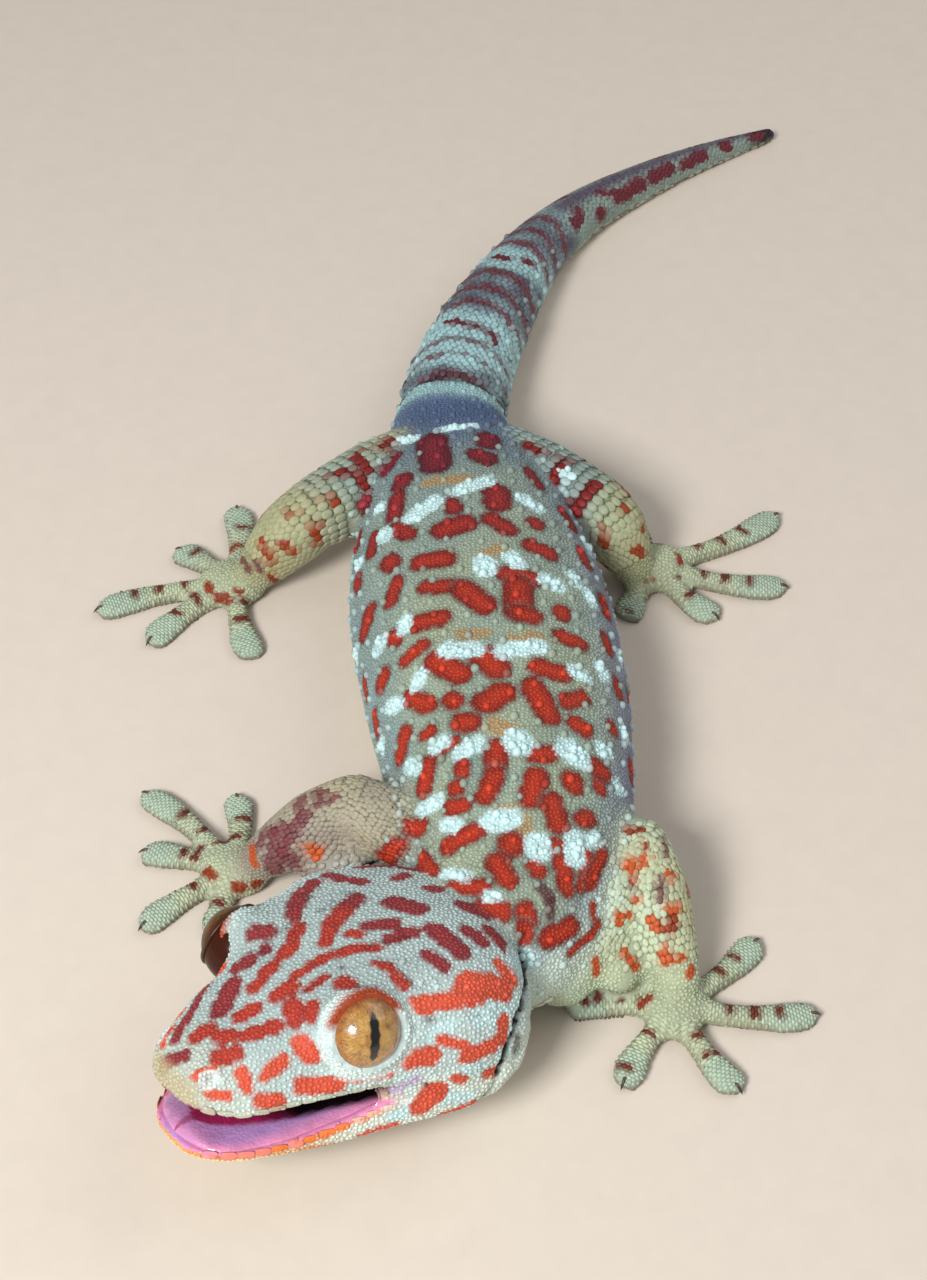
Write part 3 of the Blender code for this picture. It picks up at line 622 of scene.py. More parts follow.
# %% The ground colours
TONES = tones({
    "back": "90A295", "back warm": "A4AB8E", "back cool": "7C949E", "back rear": "76868A",
    "rump": "41557E", "flank": "8A8C9E", "belly": "CFCBB4", "crown": "AFBFBB", "temple": "C6D6D1",
    "snout": "BFC6B9", "jaw": "DDE8DA", "throat": "D5D4C0", "limb": "AEB693",
    "limb warm": "B2AD82", "thigh": "8FA098", "arm left": "BDCBAE", "arm right": "948A7D",
    "neck side": "CFDFD2", "palm": "B9C1A4", "toe": "AEBFA9", "sole": "8C8371", "toe fringe and shadow": "6B4E3A",
    "tail pale": "9ABBBC", "tail dark": "4C4A56", "tail end": "7F8E85", "tail ridge": "54495A",
    "tail tip": "1E1620",
})
BLEND_ROUNDS = 26
TAIL_BLEND_ROUNDS = 3     # fewer, so that the rings stay crisp
SHANK_SHADE, THIGH_SHADE = 0.8, 0.88
# Dark zones of the tail's base half, as millimetres along the back
TAIL_DARK = [(126, 130), (147, 162), (169, 183)]
TAIL_BANDED = 184         # from here to the tip the tail is smooth and pale with a dark ridge


def mix(a, b, share):
    """Tones between a and b, by each point's share."""
    return a + (b - a) * np.clip(share, 0, 1)[:, None]


def cover(mask, tones):
    """Gives the points of a part their own tones."""
    ground[mask] = tones[mask]


count = len(points)
head_local, head_degrees = head_measures(points)
back_mm, back_degrees = back_measures(points)
cloud = ruffle(points, 9, 1)
grain = ruffle(points, 2.5, 2)
low_side = between(-normals[:, 2], 0.1, 0.8)

body = mix(TONES["back"], TONES["back warm"], 0.5 + 0.9 * cloud)
body = mix(body, TONES["back cool"], between(np.abs(back_degrees), 30, 75) * 0.6 + 0.3 * grain)
body = mix(body, TONES["back rear"], 0.6 * between(back_mm, 66, 104))
neck_side = between(back_degrees, 50, 62) * (1 - between(back_mm, 24, 31))
rump = between(back_mm, 96, 113) * (1 - between(back_mm, 126.5, 128))
body = mix(body, TONES["rump"], 0.85 * rump * (1 - 0.55 * between(np.abs(back_degrees), 40, 80)))
body = mix(body, TONES["flank"], between(back_degrees, 38, 70) * (1 - 0.5 * rump))
body = mix(body, TONES["neck side"], neck_side)
body = mix(body, TONES["belly"], between(np.abs(back_degrees), 92, 118))
tail = TONES["tail pale"]
arc = back_mm - 2.0 * between(np.abs(back_degrees), 20, 80)
for start, end in TAIL_DARK:
    zone = between(arc, start - 1, start + 1) * (1 - between(arc, end - 1, end + 1))
    tail = mix(tail, TONES["tail dark"], zone * (0.75 + 0.5 * grain))
far = between(back_mm, TAIL_BANDED - 3, TAIL_BANDED + 3)
tail = mix(tail, TONES["tail end"], far)
ridge = (1 - between(np.abs(back_degrees + 6), 14, 30)) * far
tail = mix(tail, TONES["tail ridge"], ridge)
tail = mix(tail, TONES["tail tip"], between(back_mm, 234, 237))
tail = mix(tail, TONES["belly"], 0.7 * between(np.abs(back_degrees), 100, 125))
ground = body.copy()
cover(part_mask("tail"), tail)

beside = np.abs(head_degrees)
head = mix(TONES["crown"], TONES["temple"], between(beside, 45, 80) + 0.25 * cloud)
head = mix(head, TONES["snout"], 1 - between(head_local[:, 0], 3, 9))
head = mix(head, TONES["jaw"], between(beside, 88, 100))
head = mix(head, TONES["throat"], between(beside, 125, 150))
cover(is_head, head)

limb = mix(TONES["limb"], TONES["limb warm"], 0.5 + cloud)
limb = mix(limb, TONES["belly"], 0.6 * low_side)
thigh = mix(mix(TONES["thigh"], limb, 0.3 + cloud), TONES["belly"], 0.6 * low_side)
cover(part_mask("shank"), limb * SHANK_SHADE)
cover(part_mask("thigh"), thigh * THIGH_SHADE)
cover(part_mask("arm_left"), mix(TONES["arm left"], limb, 0.3 + 0.8 * cloud))
cover(part_mask("arm_right"), mix(TONES["arm right"], limb, 0.15 + cloud))
cover(hands, mix(TONES["palm"], TONES["limb"], 0.3 + 0.6 * cloud))

edge_ids = np.zeros(len(skin.data.edges) * 2, np.int32)
skin.data.edges.foreach_get("vertices", edge_ids)
edge_ids = edge_ids.reshape(-1, 2)
degree = np.bincount(edge_ids.ravel(), minlength=count)[:, None]


def share_with_neighbours(values, rounds):
    """Averages a value at each point with those of its neighbours, again and again."""
    for _ in range(rounds):
        total = np.zeros_like(values)
        for a, b in ((0, 1), (1, 0)):
            for axis in range(values.shape[1]):
                total[:, axis] += np.bincount(edge_ids[:, a], values[edge_ids[:, b], axis], count)
        values = 0.5 * values + 0.5 * total / degree
    return values


is_tail = part_mask("tail")
paint = share_with_neighbours(ground, BLEND_ROUNDS)
paint[is_tail] = share_with_neighbours(ground, TAIL_BLEND_ROUNDS)[is_tail]
print("ground colours:", len(TONES))

# %% [markdown]
# ## The marks
# A tokay gecko is named by its marks as much as by its shape: orange-red blotches in rows along the back,
# bands of white, and strokes on the head that run towards the snout. Each mark here is a short stroke on
# the skin with a ragged edge, placed by the animal's own measures. The red ones have a brighter core, and
# those of the back a dusky border. The marks that the photograph shows are laid where it shows them, and
# the far cheek repeats the near one, as it does on the animal.

# %% The marks
MARK_GROWTH = 0.28         # added to every half-width
MARK_SOFTNESS = 0.14
MARK_RAGGED = 0.22
HALO = 0.42                # the width of the dusky border round each red mark of the back
REAR_FROM, REAR_SPAN = 60, 45     # mm along the back where the red begins to darken, and how slowly it does
HEAD_RAGGED = 0.16
# On the back: mm along, degrees from the ridge (left positive), the same for the other end, half-width
BACK_RED = [
    (106, -16, 99, -15, 2.5), (106, 20, 104, 18, 1.9), (100.5, 9, 99.5, 14, 1.7), (97, -34, 96, -35, 1.6),
    (93, -37, 89, -38, 1.4), (86, -36, 83, -30, 1.3), (88, -9, 87, -8, 1.3), (82, -14, 83, -4, 1.9),
    (90, 14, 87.5, 13, 2.1), (84, 8, 81, 15, 1.3), (83, 28, 82.5, 29, 1.2), (77.5, 23, 76, 31, 1.3),
    (76.5, -26, 76, -15, 1.6), (79, -41, 78.5, -40, 1.6), (74, -38, 71, -43, 1.1),
    (71, -25, 69.5, -10, 1.3), (68.5, -10, 65, -3, 1.8), (71, 10, 70, 20, 1.7), (68, 13, 63, 11, 2.1),
    (63, 11, 62, 17, 1.4), (63.5, 30, 63, 30, 1.3), (58.5, 28, 57.5, 36, 1.3), (64.5, -33, 64, -22, 1.4),
    (72, -56, 69.5, -65, 1.3), (64, -45, 63.5, -44, 1.3), (60, -32, 58.5, -42, 1.0),
    (56, -28, 52.5, -19, 1.8), (55, -8, 52.5, -3, 1.9), (52, 15, 51, 26, 1.5),
    (58.5, -56, 57.5, -59, 1.3), (105, -40, 102, -48, 0.8), (87, -51, 83, -52, 1.0),
    (81, -66, 79, -64, 1.0), (51.5, -44, 48.5, -36, 1.3), (48, -25, 47.5, -24, 1.3),
    (46.5, -10, 47.5, -3, 2.0), (48.5, 11, 43, 17, 1.6), (46, 26, 47, 34, 1.2), (42.5, 29, 41.5, 34, 1.2),
    (53.5, -72, 52, -75, 1.2), (43.5, -23, 43, -19, 1.5), (44, -38, 43.5, -41, 0.9),
    (46, -52, 43, -60, 1.3), (40.5, -28, 38.5, -43, 0.8), (38.5, -43, 34.5, -48, 1.3),
    (35.5, -26, 35, -26, 1.1), (32.5, -30, 32, -30, 1.1), (28.5, -33, 28.5, -27, 1.2),
    (38, -9, 33.5, -11, 1.4), (33.5, -11, 30, -16, 1.4), (36.5, 9, 36.5, 15, 1.4), (33, 9, 29.5, 6, 1.5),
    (33, 26, 32.5, 27, 1.5), (29.5, 17, 26.5, 21, 1.4), (28, 33, 28.5, 36, 1.2), (34, 41, 33, 42, 1.1),
    (20, -34, 23.5, -20, 1.4), (22.5, 0, 22, 0, 1.7), (23.5, 23, 22, 28, 1.2), (22, 28, 20, 37, 1.2),
    (19, -4, 17.5, 7, 1.3), (20.5, 15, 20, 19, 1.0), (24, 40, 21, 44, 0.8), (36, 39, 35.5, 44, 1.4),
    (44, 51, 43.5, 52, 1.0), (28, -60, 27, -54, 1.2), (53, 58, 51, 60, 1.0), (61, 54, 59, 55, 1.1),
    (70, 60, 67, 61, 1.2), (79, 52, 77, 54, 1.2), (89, 52, 86, 53, 1.3), (97, 38, 94, 40, 1.2),
    (100, -66, 97, -64, 1.2), (91, -70, 89, -70, 1.1), (62, -76, 60, -77, 1.2), (38, -72, 36, -73, 1.1),
    (75, 76, 73, 77, 1.1), (55, 78, 53, 78, 1.1), (41, 72, 39, 74, 1.1), (94, 66, 92, 66, 1.1),
    (12, -12, 14.5, -1, 1.3), (13.5, 11, 14.3, 19, 1.4), (16.2, 27, 15.7, 32, 1.2),
    (15, 36, 14.5, 41, 1.1), (16, 48, 18, 53, 1.3), (14, -60, 11.5, -35, 1.1), (13, -73, 11, -87, 1.3),
    (22, 48, 25, 50, 1.0), (20.6, 56, 19.9, 63, 0.3), (27, 66, 24, 70, 0.4), (17, 66, 20, 70, 0.5),
]
BACK_DARK = [(18.6, 25, 18.4, 31, 0.7), (18.2, 33, 17.2, 39, 0.5)]
BACK_WHITE = [
    (109.5, -8, 110, 14, 0.7), (109, -38, 108.5, -28, 0.8), (91, -5, 93, 11, 1.0),
    (87, -28, 89, -17, 1.3), (93, -49, 92.5, -48, 1.0), (86, -43, 85, -43, 1.1), (89, 27, 87.5, 33, 1.2),
    (73.5, 1, 72.5, 1, 1.6), (74.5, 13, 73, 15, 1.2), (70, 26, 68.5, 31, 1.2),
    (65.5, -38, 64.5, -39, 1.1), (64.5, -52, 64, -56, 1.1), (57.5, -22, 56.5, -11, 1.3),
    (55.5, 1, 56, 17, 1.3), (52, 32, 51, 36, 1.2), (54.5, -36, 53, -39, 1.0), (84, -63, 83, -64, 0.9),
    (68.5, -80, 68, -82, 0.9), (72, 40, 70.5, 42, 1.0), (69, 48, 67, 49, 0.9), (54, 46, 53, 48, 0.9),
    (52.5, -56, 51.5, -51, 1.1), (49, -73, 48, -75, 0.9), (40.5, -37, 41, -33, 1.0),
    (38.5, -25, 39, -17, 1.2), (39, 1, 38.5, 2, 1.8), (38, 24, 36.5, 30, 1.6), (39.5, 43, 39, 46, 1.1),
    (40, -55, 39, -50, 1.0), (31, -51, 31, -42, 1.1), (25.5, -37, 25, -31, 0.9), (25.5, -12, 26, -3, 1.4),
    (23, 13, 22.5, 15, 1.6), (25, 31, 23, 34, 1.3), (25.5, 38, 26.5, 43, 0.9), (35, 54, 34.5, 56, 0.9),
    (60, 66, 59, 68, 0.9), (84, 63, 82, 64, 0.9), (99, 54, 98, 56, 1.0), (45, 62, 44, 63, 0.9),
    (13.5, 50, 13.8, 54, 1.0), (14.3, 7, 14.8, 10, 0.7), (12.6, -25, 14.5, -13, 0.7),
]
BACK_TAN = [
    (60, -15, 59.5, -5, 0.8), (58, 6, 57, 10, 0.8), (94, -19, 94, 0, 0.9), (42, -8, 41, -3, 1.2),
    (26.5, 3, 24.5, 4, 0.9), (27.5, -11, 27.5, -2, 0.6), (76, 3, 77, 10, 0.9), (58.5, 14, 58, 18, 0.7),
]
# On the head: mm back from the snout, degrees from the crown (left positive), the other end, half-width
HEAD_STROKES = [
    (30.5, -42, 27.4, -38, 0.8), (26.6, -36, 24.4, -28, 0.8), (33.2, -44, 35.6, -30, 0.7),
    (39, -49, 43, -49, 0.6), (23.7, -20, 22.4, -18, 0.7), (21.1, -13, 19.8, -12, 0.7),
    (32.4, -17, 30.2, -14, 1.0), (29.5, -12, 27.1, -8, 0.9), (26.5, -6, 24.8, 1, 0.7),
    (35.9, -1, 37.6, 10, 1.3), (30.3, 8, 33.2, 15, 0.7), (27.7, 7, 28.3, 11, 0.5),
    (25, 17, 28.5, 25, 0.6), (30.8, 24, 34.1, 26, 0.7), (23.4, 14, 21.5, 11, 0.6),
    (20.7, 12, 18.9, 11, 0.5), (17.5, 17, 15.5, 16, 0.8), (20.7, 27, 18.6, 27, 0.4),
    (19.2, -37, 20.4, -31, 0.8), (18.9, -27, 18.8, -24, 0.4), (16.7, -30, 15.1, -35, 0.8),
    (15.7, -8, 14.4, -7, 0.6), (18, -10, 16.5, -10, 0.6), (13.1, -27, 9.6, -14, 1.0),
    (12.6, 12, 10.8, 10, 0.8), (6.9, -2, 5.3, -5, 0.8), (7.1, 16, 8.3, 25, 0.6), (9.5, 34, 12.8, 39, 0.7),
    (5.8, 39, 7.3, 44, 0.8), (0.8, -37, 2.7, 8, 0.6), (15.9, 31, 15.2, 40, 0.9),
    (17.3, 39, 16.6, 44, 0.7), (21.6, 36, 21.8, 38, 0.9), (36.9, 30, 37.7, 46, 1.1),
    (41.1, 38, 41.8, 46, 0.8), (44.4, 43, 44.9, 54, 0.9), (42.3, -6, 43.7, -4, 0.6),
    (44.3, 20, 46.3, 29, 1.1), (33.3, 41, 34.3, 49, 0.6), (27, 35, 27.8, 39, 0.4),
    (27.7, 44, 28.1, 49, 0.5), (11.1, -50, 7.9, -43, 0.3), (7.3, -43, 3.3, -28, 0.3),
    (15.6, -62, 15.6, -57, 0.5), (43, -46, 46, -34, 0.9), (40, -24, 42, -28, 0.5),
]
CHEEK_STROKES = [
    (2.3, 48, 4.2, 49, 0.6), (3.2, 56, 2.9, 71, 0.5), (3, 73, 4.7, 78, 0.6), (7, 61, 6.9, 74, 0.8),
    (11.8, 63, 9.9, 67, 0.9), (9.9, 67, 9.1, 70, 0.6), (8.1, 86, 9.8, 88, 1.0), (14.5, 56, 14.9, 65, 1.2),
    (13, 82, 16.7, 85, 1.1), (16.9, 83, 22.8, 85, 0.5), (24.8, 79, 28.2, 81, 1.3),
    (28, 59, 36.2, 65, 1.1), (35.8, 59, 40.8, 68, 1.7), (42, 59, 43.2, 68, 0.9),
    (29.8, 75, 32.7, 81, 0.6), (32.8, 85, 36.8, 85, 1.1), (38.8, 79, 38.3, 85, 1.1),
    (27, 106, 29.2, 99, 1.5), (31.1, 94, 32.5, 97, 0.7), (20, 120, 24, 116, 0.7), (12, 126, 17, 126, 0.5),
    (8, 128, 11, 130, 0.35), (30, 114, 34, 110, 0.6), (25, 134, 28, 130, 0.7), (36, 98, 37.5, 100, 0.8),
    (27, 144, 31, 141, 0.9),
]
CHEEK_WHITES = [
    (25, 92, 24.5, 108, 1.1), (35.5, 72, 38, 75, 1.1), (29, 73, 31, 71, 0.9), (45.5, 60, 46.5, 68, 1.3),
    (33, 90, 34.5, 93, 0.9), (38, 90, 39.5, 95, 1.0), (16, 65, 15.7, 57, 0.8), (40, 74, 44, 78, 0.9),
    (30, 104, 33, 106, 1.0), (20, 108, 24, 110, 0.8),
]
# Of these inks, dark and black paint shade into the creases, the fold behind the jaw, the nostrils, the ear
# openings and the root of the tail.
INK = tones({
    "red front": "A0362A", "red rear": "681A2E", "red core": "B8402A", "white": "C8E4E3", "tan": "B08A58",
    "head": "AE4236", "head far": "8E383A", "cheek": "D6604A", "limb": "8C3C20", "dark": "3A2026",
    "maroon": "6A2C34", "bar": "6A3020", "shade black": "0C090B", "tail ring": "62202A", "thigh": "74201A",
    "orange": "BA5830",
})
random.seed(11)


def sway(most):
    """A random value either side of zero."""
    return random.uniform(-most, most)


def lay(start, end, half_width, ink, members, ragged=MARK_RAGGED, strength=1.0, core=None):
    """Paints one ragged stroke onto the points that are given by their numbers."""
    away = distance_to(points[members], start, end)
    near = away < half_width + 3
    chosen = members[near]
    edge = half_width + MARK_GROWTH + ragged * speckle[chosen] - away[near]
    mask = np.clip(edge / MARK_SOFTNESS + 0.5, 0, 1)[:, None] * strength
    tint = ink if core is None else ink + (core - ink) * np.clip(edge / half_width, 0, 1)[:, None]
    paint[chosen] += (tint - paint[chosen]) * mask


def lay_all(marks, place, ink, members, side=1, thinner=0.0, **looks):
    """Paints a list of strokes, whose ends are found by a measure of the body."""
    for s0, a0, s1, a1, width in marks:
        lay(place(s0, side * a0), place(s1, side * a1), width - thinner, ink, members, **looks)


speckle = ruffle(points, 1.1, 3) + 0.5 * ruffle(points, 0.6, 4)
body_points = np.nonzero(is_body | part_mask("upper_arm", "thigh"))[0]
head_points = np.nonzero(is_head)[0]
lay_all(BACK_TAN, on_back, INK["tan"], body_points, strength=0.75)
for s0, a0, s1, a1, width in BACK_RED:
    first, second = on_back(s0, a0), on_back(s1, a1)
    rear = min(max((s0 - REAR_FROM) / REAR_SPAN, 0), 1)
    ink = INK["red front"] + (INK["red rear"] - INK["red front"]) * rear
    core = (ink + (INK["red core"] - ink) * (0.65 - 0.5 * rear)) * 1.1
    lay(first, second, width + HALO, TONES["back"] * 0.4, body_points, strength=0.45)
    lay(first, second, width, ink * 0.5, body_points, core=core)
lay_all(BACK_DARK, on_back, INK["maroon"] * 0.6, body_points, strength=0.85)
lay_all(BACK_WHITE, on_back, INK["white"], body_points, ragged=0.2)
for x0, a0, x1, a1, width in HEAD_STROKES:
    ink = INK["head far"] if a0 < -20 or x0 > 30 else INK["head"]
    lay(on_head(x0, a0), on_head(x1, a1), width + 0.2, ink * 0.8, head_points, ragged=HEAD_RAGGED,
        core=ink * 1.12)
for side in (1, -1):
    lay_all(CHEEK_WHITES, on_head, INK["white"], head_points, side, strength=0.8)
    lay_all(CHEEK_STROKES, on_head, INK["cheek"] * 0.85, head_points, side, 0.15, ragged=HEAD_RAGGED,
            core=INK["cheek"] * 1.08)
print("marks:", len(BACK_RED) + len(BACK_WHITE) + len(BACK_TAN) + len(HEAD_STROKES) + len(CHEEK_STROKES))

# %% [markdown]
# ## Mouth, lips, eye rims and nostrils
# The mouth is a little open and shows its wet lining, violet in the middle and pink towards the lips, and
# its roof turns from crimson to near black further back as painted shade. The lower lip is edged in orange,
# and a white ring with a red upper edge surrounds each eye, fainter on the far side as painted shade. These
# follow the shape of the head, so they are painted by formulas on the head's own frame and not as strokes.
# The fold behind the jaw and the creases are strokes of painted shade, painted shade fills the nostrils and
# the ear openings, and the corner of the mouth is a pale stroke.

# %% Mouth, lips, eye rims and nostrils
# The lining's dark is painted shade deep in the mouth and under the upper lip; deep is the crimson it turns
# from.
LINING = tones({"pink": "E08DB4", "violet": "B388C0", "deep": "96204F", "dark": "12060A"})
LIP_INK = tones({"orange": "EE7B40", "cream": "F8DC9C", "upper": "B9B893", "rostral": "C2B693",
                 "corner": "C3B2D2"})
RIM_INK = tones({"white": "DCEFEA", "red": "A8482A", "gold": "B9A36C"})
# The right eye's fainter white ring is painted shade.
RING_STRENGTHS = (0.95, 0.35)      # of the white ring, round the left eye and round the right one
MOUTH_CORNERS = [(23.6, 96, 26.4, 90, 0.3)]


def lip_height(x):
    """The height of the raised upper lip."""
    return lip_line(x) + lip_lift(x)


def gape_at(x):
    """How far the lower lip is below the upper one."""
    return 0.3 + (GAPE - 0.3) * np.maximum(0.0, 1 - x / MOUTH_CORNER) + lip_lift(x)


def wash(mask, tone):
    """Mixes a colour into every point by its mask."""
    paint[:] = mix(paint, tone, mask)


hx, hy, hz = head_local.T
lip_x, lip_w = zip(*LIP_WIDTHS)
reach = np.interp(hx, lip_x, lip_w)
inward = normals @ np.array(head_turn)
to_middle = -inward[:, 1] * np.sign(hy)
along_mouth = (hx > 0.2) & (hx < MOUTH_CORNER + 0.5)
upper_lip = hz - lip_height(hx)
lower_lip = hz - (lip_height(hx) - gape_at(hx))
palate = part_mask("head") & along_mouth & (upper_lip < 3) & (np.abs(hy) < reach - 0.5) & (
    (inward[:, 2] < -0.25) | (to_middle > 0.35))
floor_of_mouth = part_mask("lower_jaw") & along_mouth & (lower_lip > -2.4) & (np.abs(hy) < reach - 0.35) & (
    (inward[:, 2] > 0.3) | (to_middle > 0.35))
mouth = palate | floor_of_mouth

jaw_side = part_mask("lower_jaw") & ~floor_of_mouth
near_tip = 1 - between(hx, 6, 20)
wash(jaw_side * near_tip * between(lower_lip, -4.6, -2.6) * 0.92, LIP_INK["cream"])
edge = between(lower_lip + 0.6 * speckle, -2.1 + 0.1 * np.minimum(hx, 8), -1.2) * (1 - between(hx, 18, 27))
wash(jaw_side * edge * (0.6 + 0.35 * between(hx, 0, 4)), LIP_INK["orange"])
snout_side = part_mask("head") & ~palate
wash(snout_side * (1 - between(upper_lip, 0.4, 1.2)) * (1 - between(hx, 22, 27)) * 0.45, LIP_INK["upper"])
tip = snout_side * (1 - between(hx, 1.2, 2.4)) * (1 - between(upper_lip, 3.4, 4.8))
wash(tip * 0.85, LIP_INK["rostral"])
for eye, strength in zip(eye_frames, RING_STRENGTHS):
    depth, radius, rise = eye_measures(eye)
    facing = is_head & (depth > 0.5) & (depth < 7)
    outer_edge = RIM_RADIUS + 1.8 - 0.9 * between(rise, 1.5, 4)
    ring = 1 - between(radius + 0.3 * speckle, outer_edge, outer_edge + 0.5)
    upper_edge = (1 - between(radius, RIM_RADIUS + 0.6, RIM_RADIUS + 0.9)) * between(rise, 1.2, 2.4)
    wash(facing * ring * strength, RIM_INK["white"])
    wash(facing * upper_edge, RIM_INK["red"])
# Each nostril gets a pale curl round a hole of painted shade, and each ear opening is filled with painted
# shade.
for side in (-1, 1):
    away = nostril_distance(side)
    curl = is_head & (away > 0.7) & (away < 1.5) & (hz < NOSTRIL.z + 0.4)
    wash(curl * 0.8, RIM_INK["white"])
    wash(is_head * (1 - between(away, 0.45, 0.8)), INK["shade black"])
    away = np.linalg.norm((points - np.array(head_place(EAR, side))) / EAR_SIZE, axis=1)
    wash(is_head * (1 - between(away, 0.55, 0.95)), INK["dark"])
# Painted shadow in the fold behind the jaw, where the jaw overlaps the neck.
for start, end in jaw_fold(1):
    lay(start, end, 0.42, INK["shade black"], np.arange(count), ragged=0.12)
# Painted shade darkens the creases of the head; the corners of the mouth get a pale stroke.
for side in (1, -1):
    creases = [(*ends, -0.08) for *ends, _, _ in HEAD_CREASES[:6]]
    lay_all(creases, on_head, INK["dark"], head_points, side, ragged=0.2, strength=0.6)
    lay_all(MOUTH_CORNERS, on_head, LIP_INK["corner"], head_points, side, ragged=0.1)
# The roof of the mouth turns from crimson to near black further back, as painted shade.
roof = mix(LINING["deep"], LINING["dark"], between(hx, 6, 13))
paint[palate] = roof[palate]
middle = 1 - between(np.abs(hy) / np.maximum(reach - 1, 1), 0.45, 1.0)
bed = mix(LINING["pink"], LINING["violet"], middle + 0.2 * cloud)
paint[floor_of_mouth] = bed[floor_of_mouth]
print("points of the mouth's lining:", int(mouth.sum()))

# %% [markdown]
# ## Limbs, toes and tail
# The limbs carry scattered orange-brown spots, the right arm is stained maroon, and each toe has two or
# three dark bars behind its turquoise pad. The base half of the tail is ringed, and the rest has a row of
# dark red spots on each side. The rings and bars are laid by rules, and the spots one by one, as on the
# back.

# %% Limbs, toes and tail
TAIL_RINGS = [
    (128, 0.5), (133.5, 0.45), (138, 0.6), (149.5, 0.8), (154.5, 1.1), (160, 1.3), (171, 1.2), (176, 0.9),
    (181, 1.0),
]
TAIL_DASHES = [
    (142.5, -28, 142, 8, 0.7), (141.5, 26, 141, 34, 0.7), (165, -25, 164.5, -4, 0.8),
    (166, 22, 166, 34, 0.7), (187.5, 32, 184.5, 46, 1.1), (193, 62, 193, 70, 1.2),
    (195, 17, 198.5, 38, 0.7), (199, 52, 205.5, 46, 1.2), (209, 46, 213.5, 40, 1.2),
    (217, 50, 223, 40, 0.9), (228, 30, 229, 38, 1.0), (235, 24, 237.5, 26, 0.7),
    (190, -44, 186, -56, 1.1), (198, -60, 203, -52, 1.0), (210, -55, 215, -48, 1.0),
    (221, -52, 224, -48, 0.8), (231, -45, 232, -45, 0.7),
]
# On the limbs: share of the way to the wrist and degrees from the top, the same for the other end,
# half-width in mm, and ink
LIMB_SPOTS = {
    "leg_left": [
        (0.21, 1, 0.26, 0, 0.75, "thigh"), (0.33, -7, 0.36, 40, 1.0, "thigh"),
        (0.45, 7, 0.45, 37, 0.95, "thigh"), (0.47, 72, 0.52, 85, 0.6, "limb"),
        (0.61, 51, 0.7, 58, 0.55, "limb"), (0.88, 12, 0.92, 6, 0.75, "limb"),
        (0.56, 8, 0.59, -6, 0.35, "limb"), (0.92, 104, 0.88, 110, 0.35, "limb"),
        (0.3, -75, 0.34, -60, 0.8, "thigh"), (0.5, -66, 0.52, -50, 0.7, "limb"),
        (0.7, -78, 0.74, -60, 0.6, "limb"), (0.78, -28, 0.8, -20, 0.5, "limb"),
    ],
    "leg_right": [
        (0.16, 10, 0.21, 6, 0.9, "thigh"), (0.29, 11, 0.3, -19, 0.85, "thigh"),
        (0.4, 2, 0.35, -3, 0.55, "thigh"), (0.26, 20, 0.3, 14, 0.5, "thigh"),
        (0.34, -18, 0.33, -41, 0.85, "thigh"), (0.4, -64, 0.4, -99, 0.5, "limb"),
        (0.46, -19, 0.43, -37, 0.35, "limb"), (0.6, -4, 0.56, -19, 0.35, "limb"),
        (0.53, -56, 0.55, -89, 0.75, "limb"), (0.75, -44, 0.73, -67, 0.6, "limb"),
        (0.83, -9, 0.87, -53, 0.6, "limb"), (1.0, 13, 1.0, -28, 0.45, "maroon"),
        (0.93, -23, 0.96, -46, 0.4, "maroon"), (0.95, -76, 0.97, -111, 0.4, "limb"),
        (0.35, 64, 0.38, 78, 0.8, "thigh"), (0.56, 60, 0.6, 74, 0.7, "limb"),
        (0.74, 48, 0.78, 60, 0.55, "limb"),
    ],
    "arm_left": [
        (0.38, 20, 0.36, 31, 0.5, "orange"), (0.57, -33, 0.61, -30, 0.45, "maroon"),
        (0.69, -6, 0.75, 0, 0.55, "maroon"), (0.73, 41, 0.74, 43, 0.35, "orange"),
        (0.77, 56, 0.78, 58, 0.3, "orange"), (0.23, 48, 0.21, 60, 0.4, "orange"),
        (0.82, -9, 0.85, 8, 0.6, "limb"), (0.84, 78, 0.84, 55, 0.35, "orange"),
        (0.14, 86, 0.12, 95, 0.5, "orange"), (0.88, 87, 0.9, 57, 0.5, "orange"),
        (0.94, 32, 0.94, -12, 0.45, "orange"), (0.06, 57, 0.03, 73, 0.45, "orange"),
        (1.0, -17, 0.99, -30, 0.4, "orange"), (0.4, -80, 0.45, -70, 0.6, "limb"),
        (0.7, -84, 0.74, -70, 0.5, "limb"), (0.62, 30, 0.65, 35, 0.4, "orange"),
        (0.5, 50, 0.52, 56, 0.4, "orange"), (0.66, 66, 0.69, 68, 0.35, "orange"),
        (0.8, 32, 0.83, 24, 0.4, "orange"), (0.46, -10, 0.5, -6, 0.45, "limb"),
        (0.32, 78, 0.34, 84, 0.4, "orange"), (0.55, 8, 0.58, 13, 0.35, "limb"),
        (0.9, 22, 0.91, 30, 0.35, "orange"), (0.42, 70, 0.44, 76, 0.35, "orange"),
    ],
    "arm_right": [
        (0.7, 21, 0.7, -13, 0.8, "maroon"), (0.62, -10, 0.55, -15, 0.5, "maroon"),
        (0.82, -14, 0.93, -80, 1.4, "maroon"), (0.85, -58, 0.84, -81, 1.2, "maroon"),
        (0.87, 0, 0.85, -9, 0.5, "maroon"), (0.73, -18, 0.8, -39, 0.8, "maroon"),
        (0.75, -70, 0.74, -78, 0.8, "orange"), (0.97, -4, 0.99, -46, 0.4, "orange"),
        (0.5, 60, 0.54, 72, 0.6, "limb"), (0.8, 60, 0.84, 76, 0.5, "limb"),
        (0.6, 12, 0.62, 24, 0.6, "maroon"), (0.9, 12, 0.93, -18, 0.5, "maroon"),
    ],
}
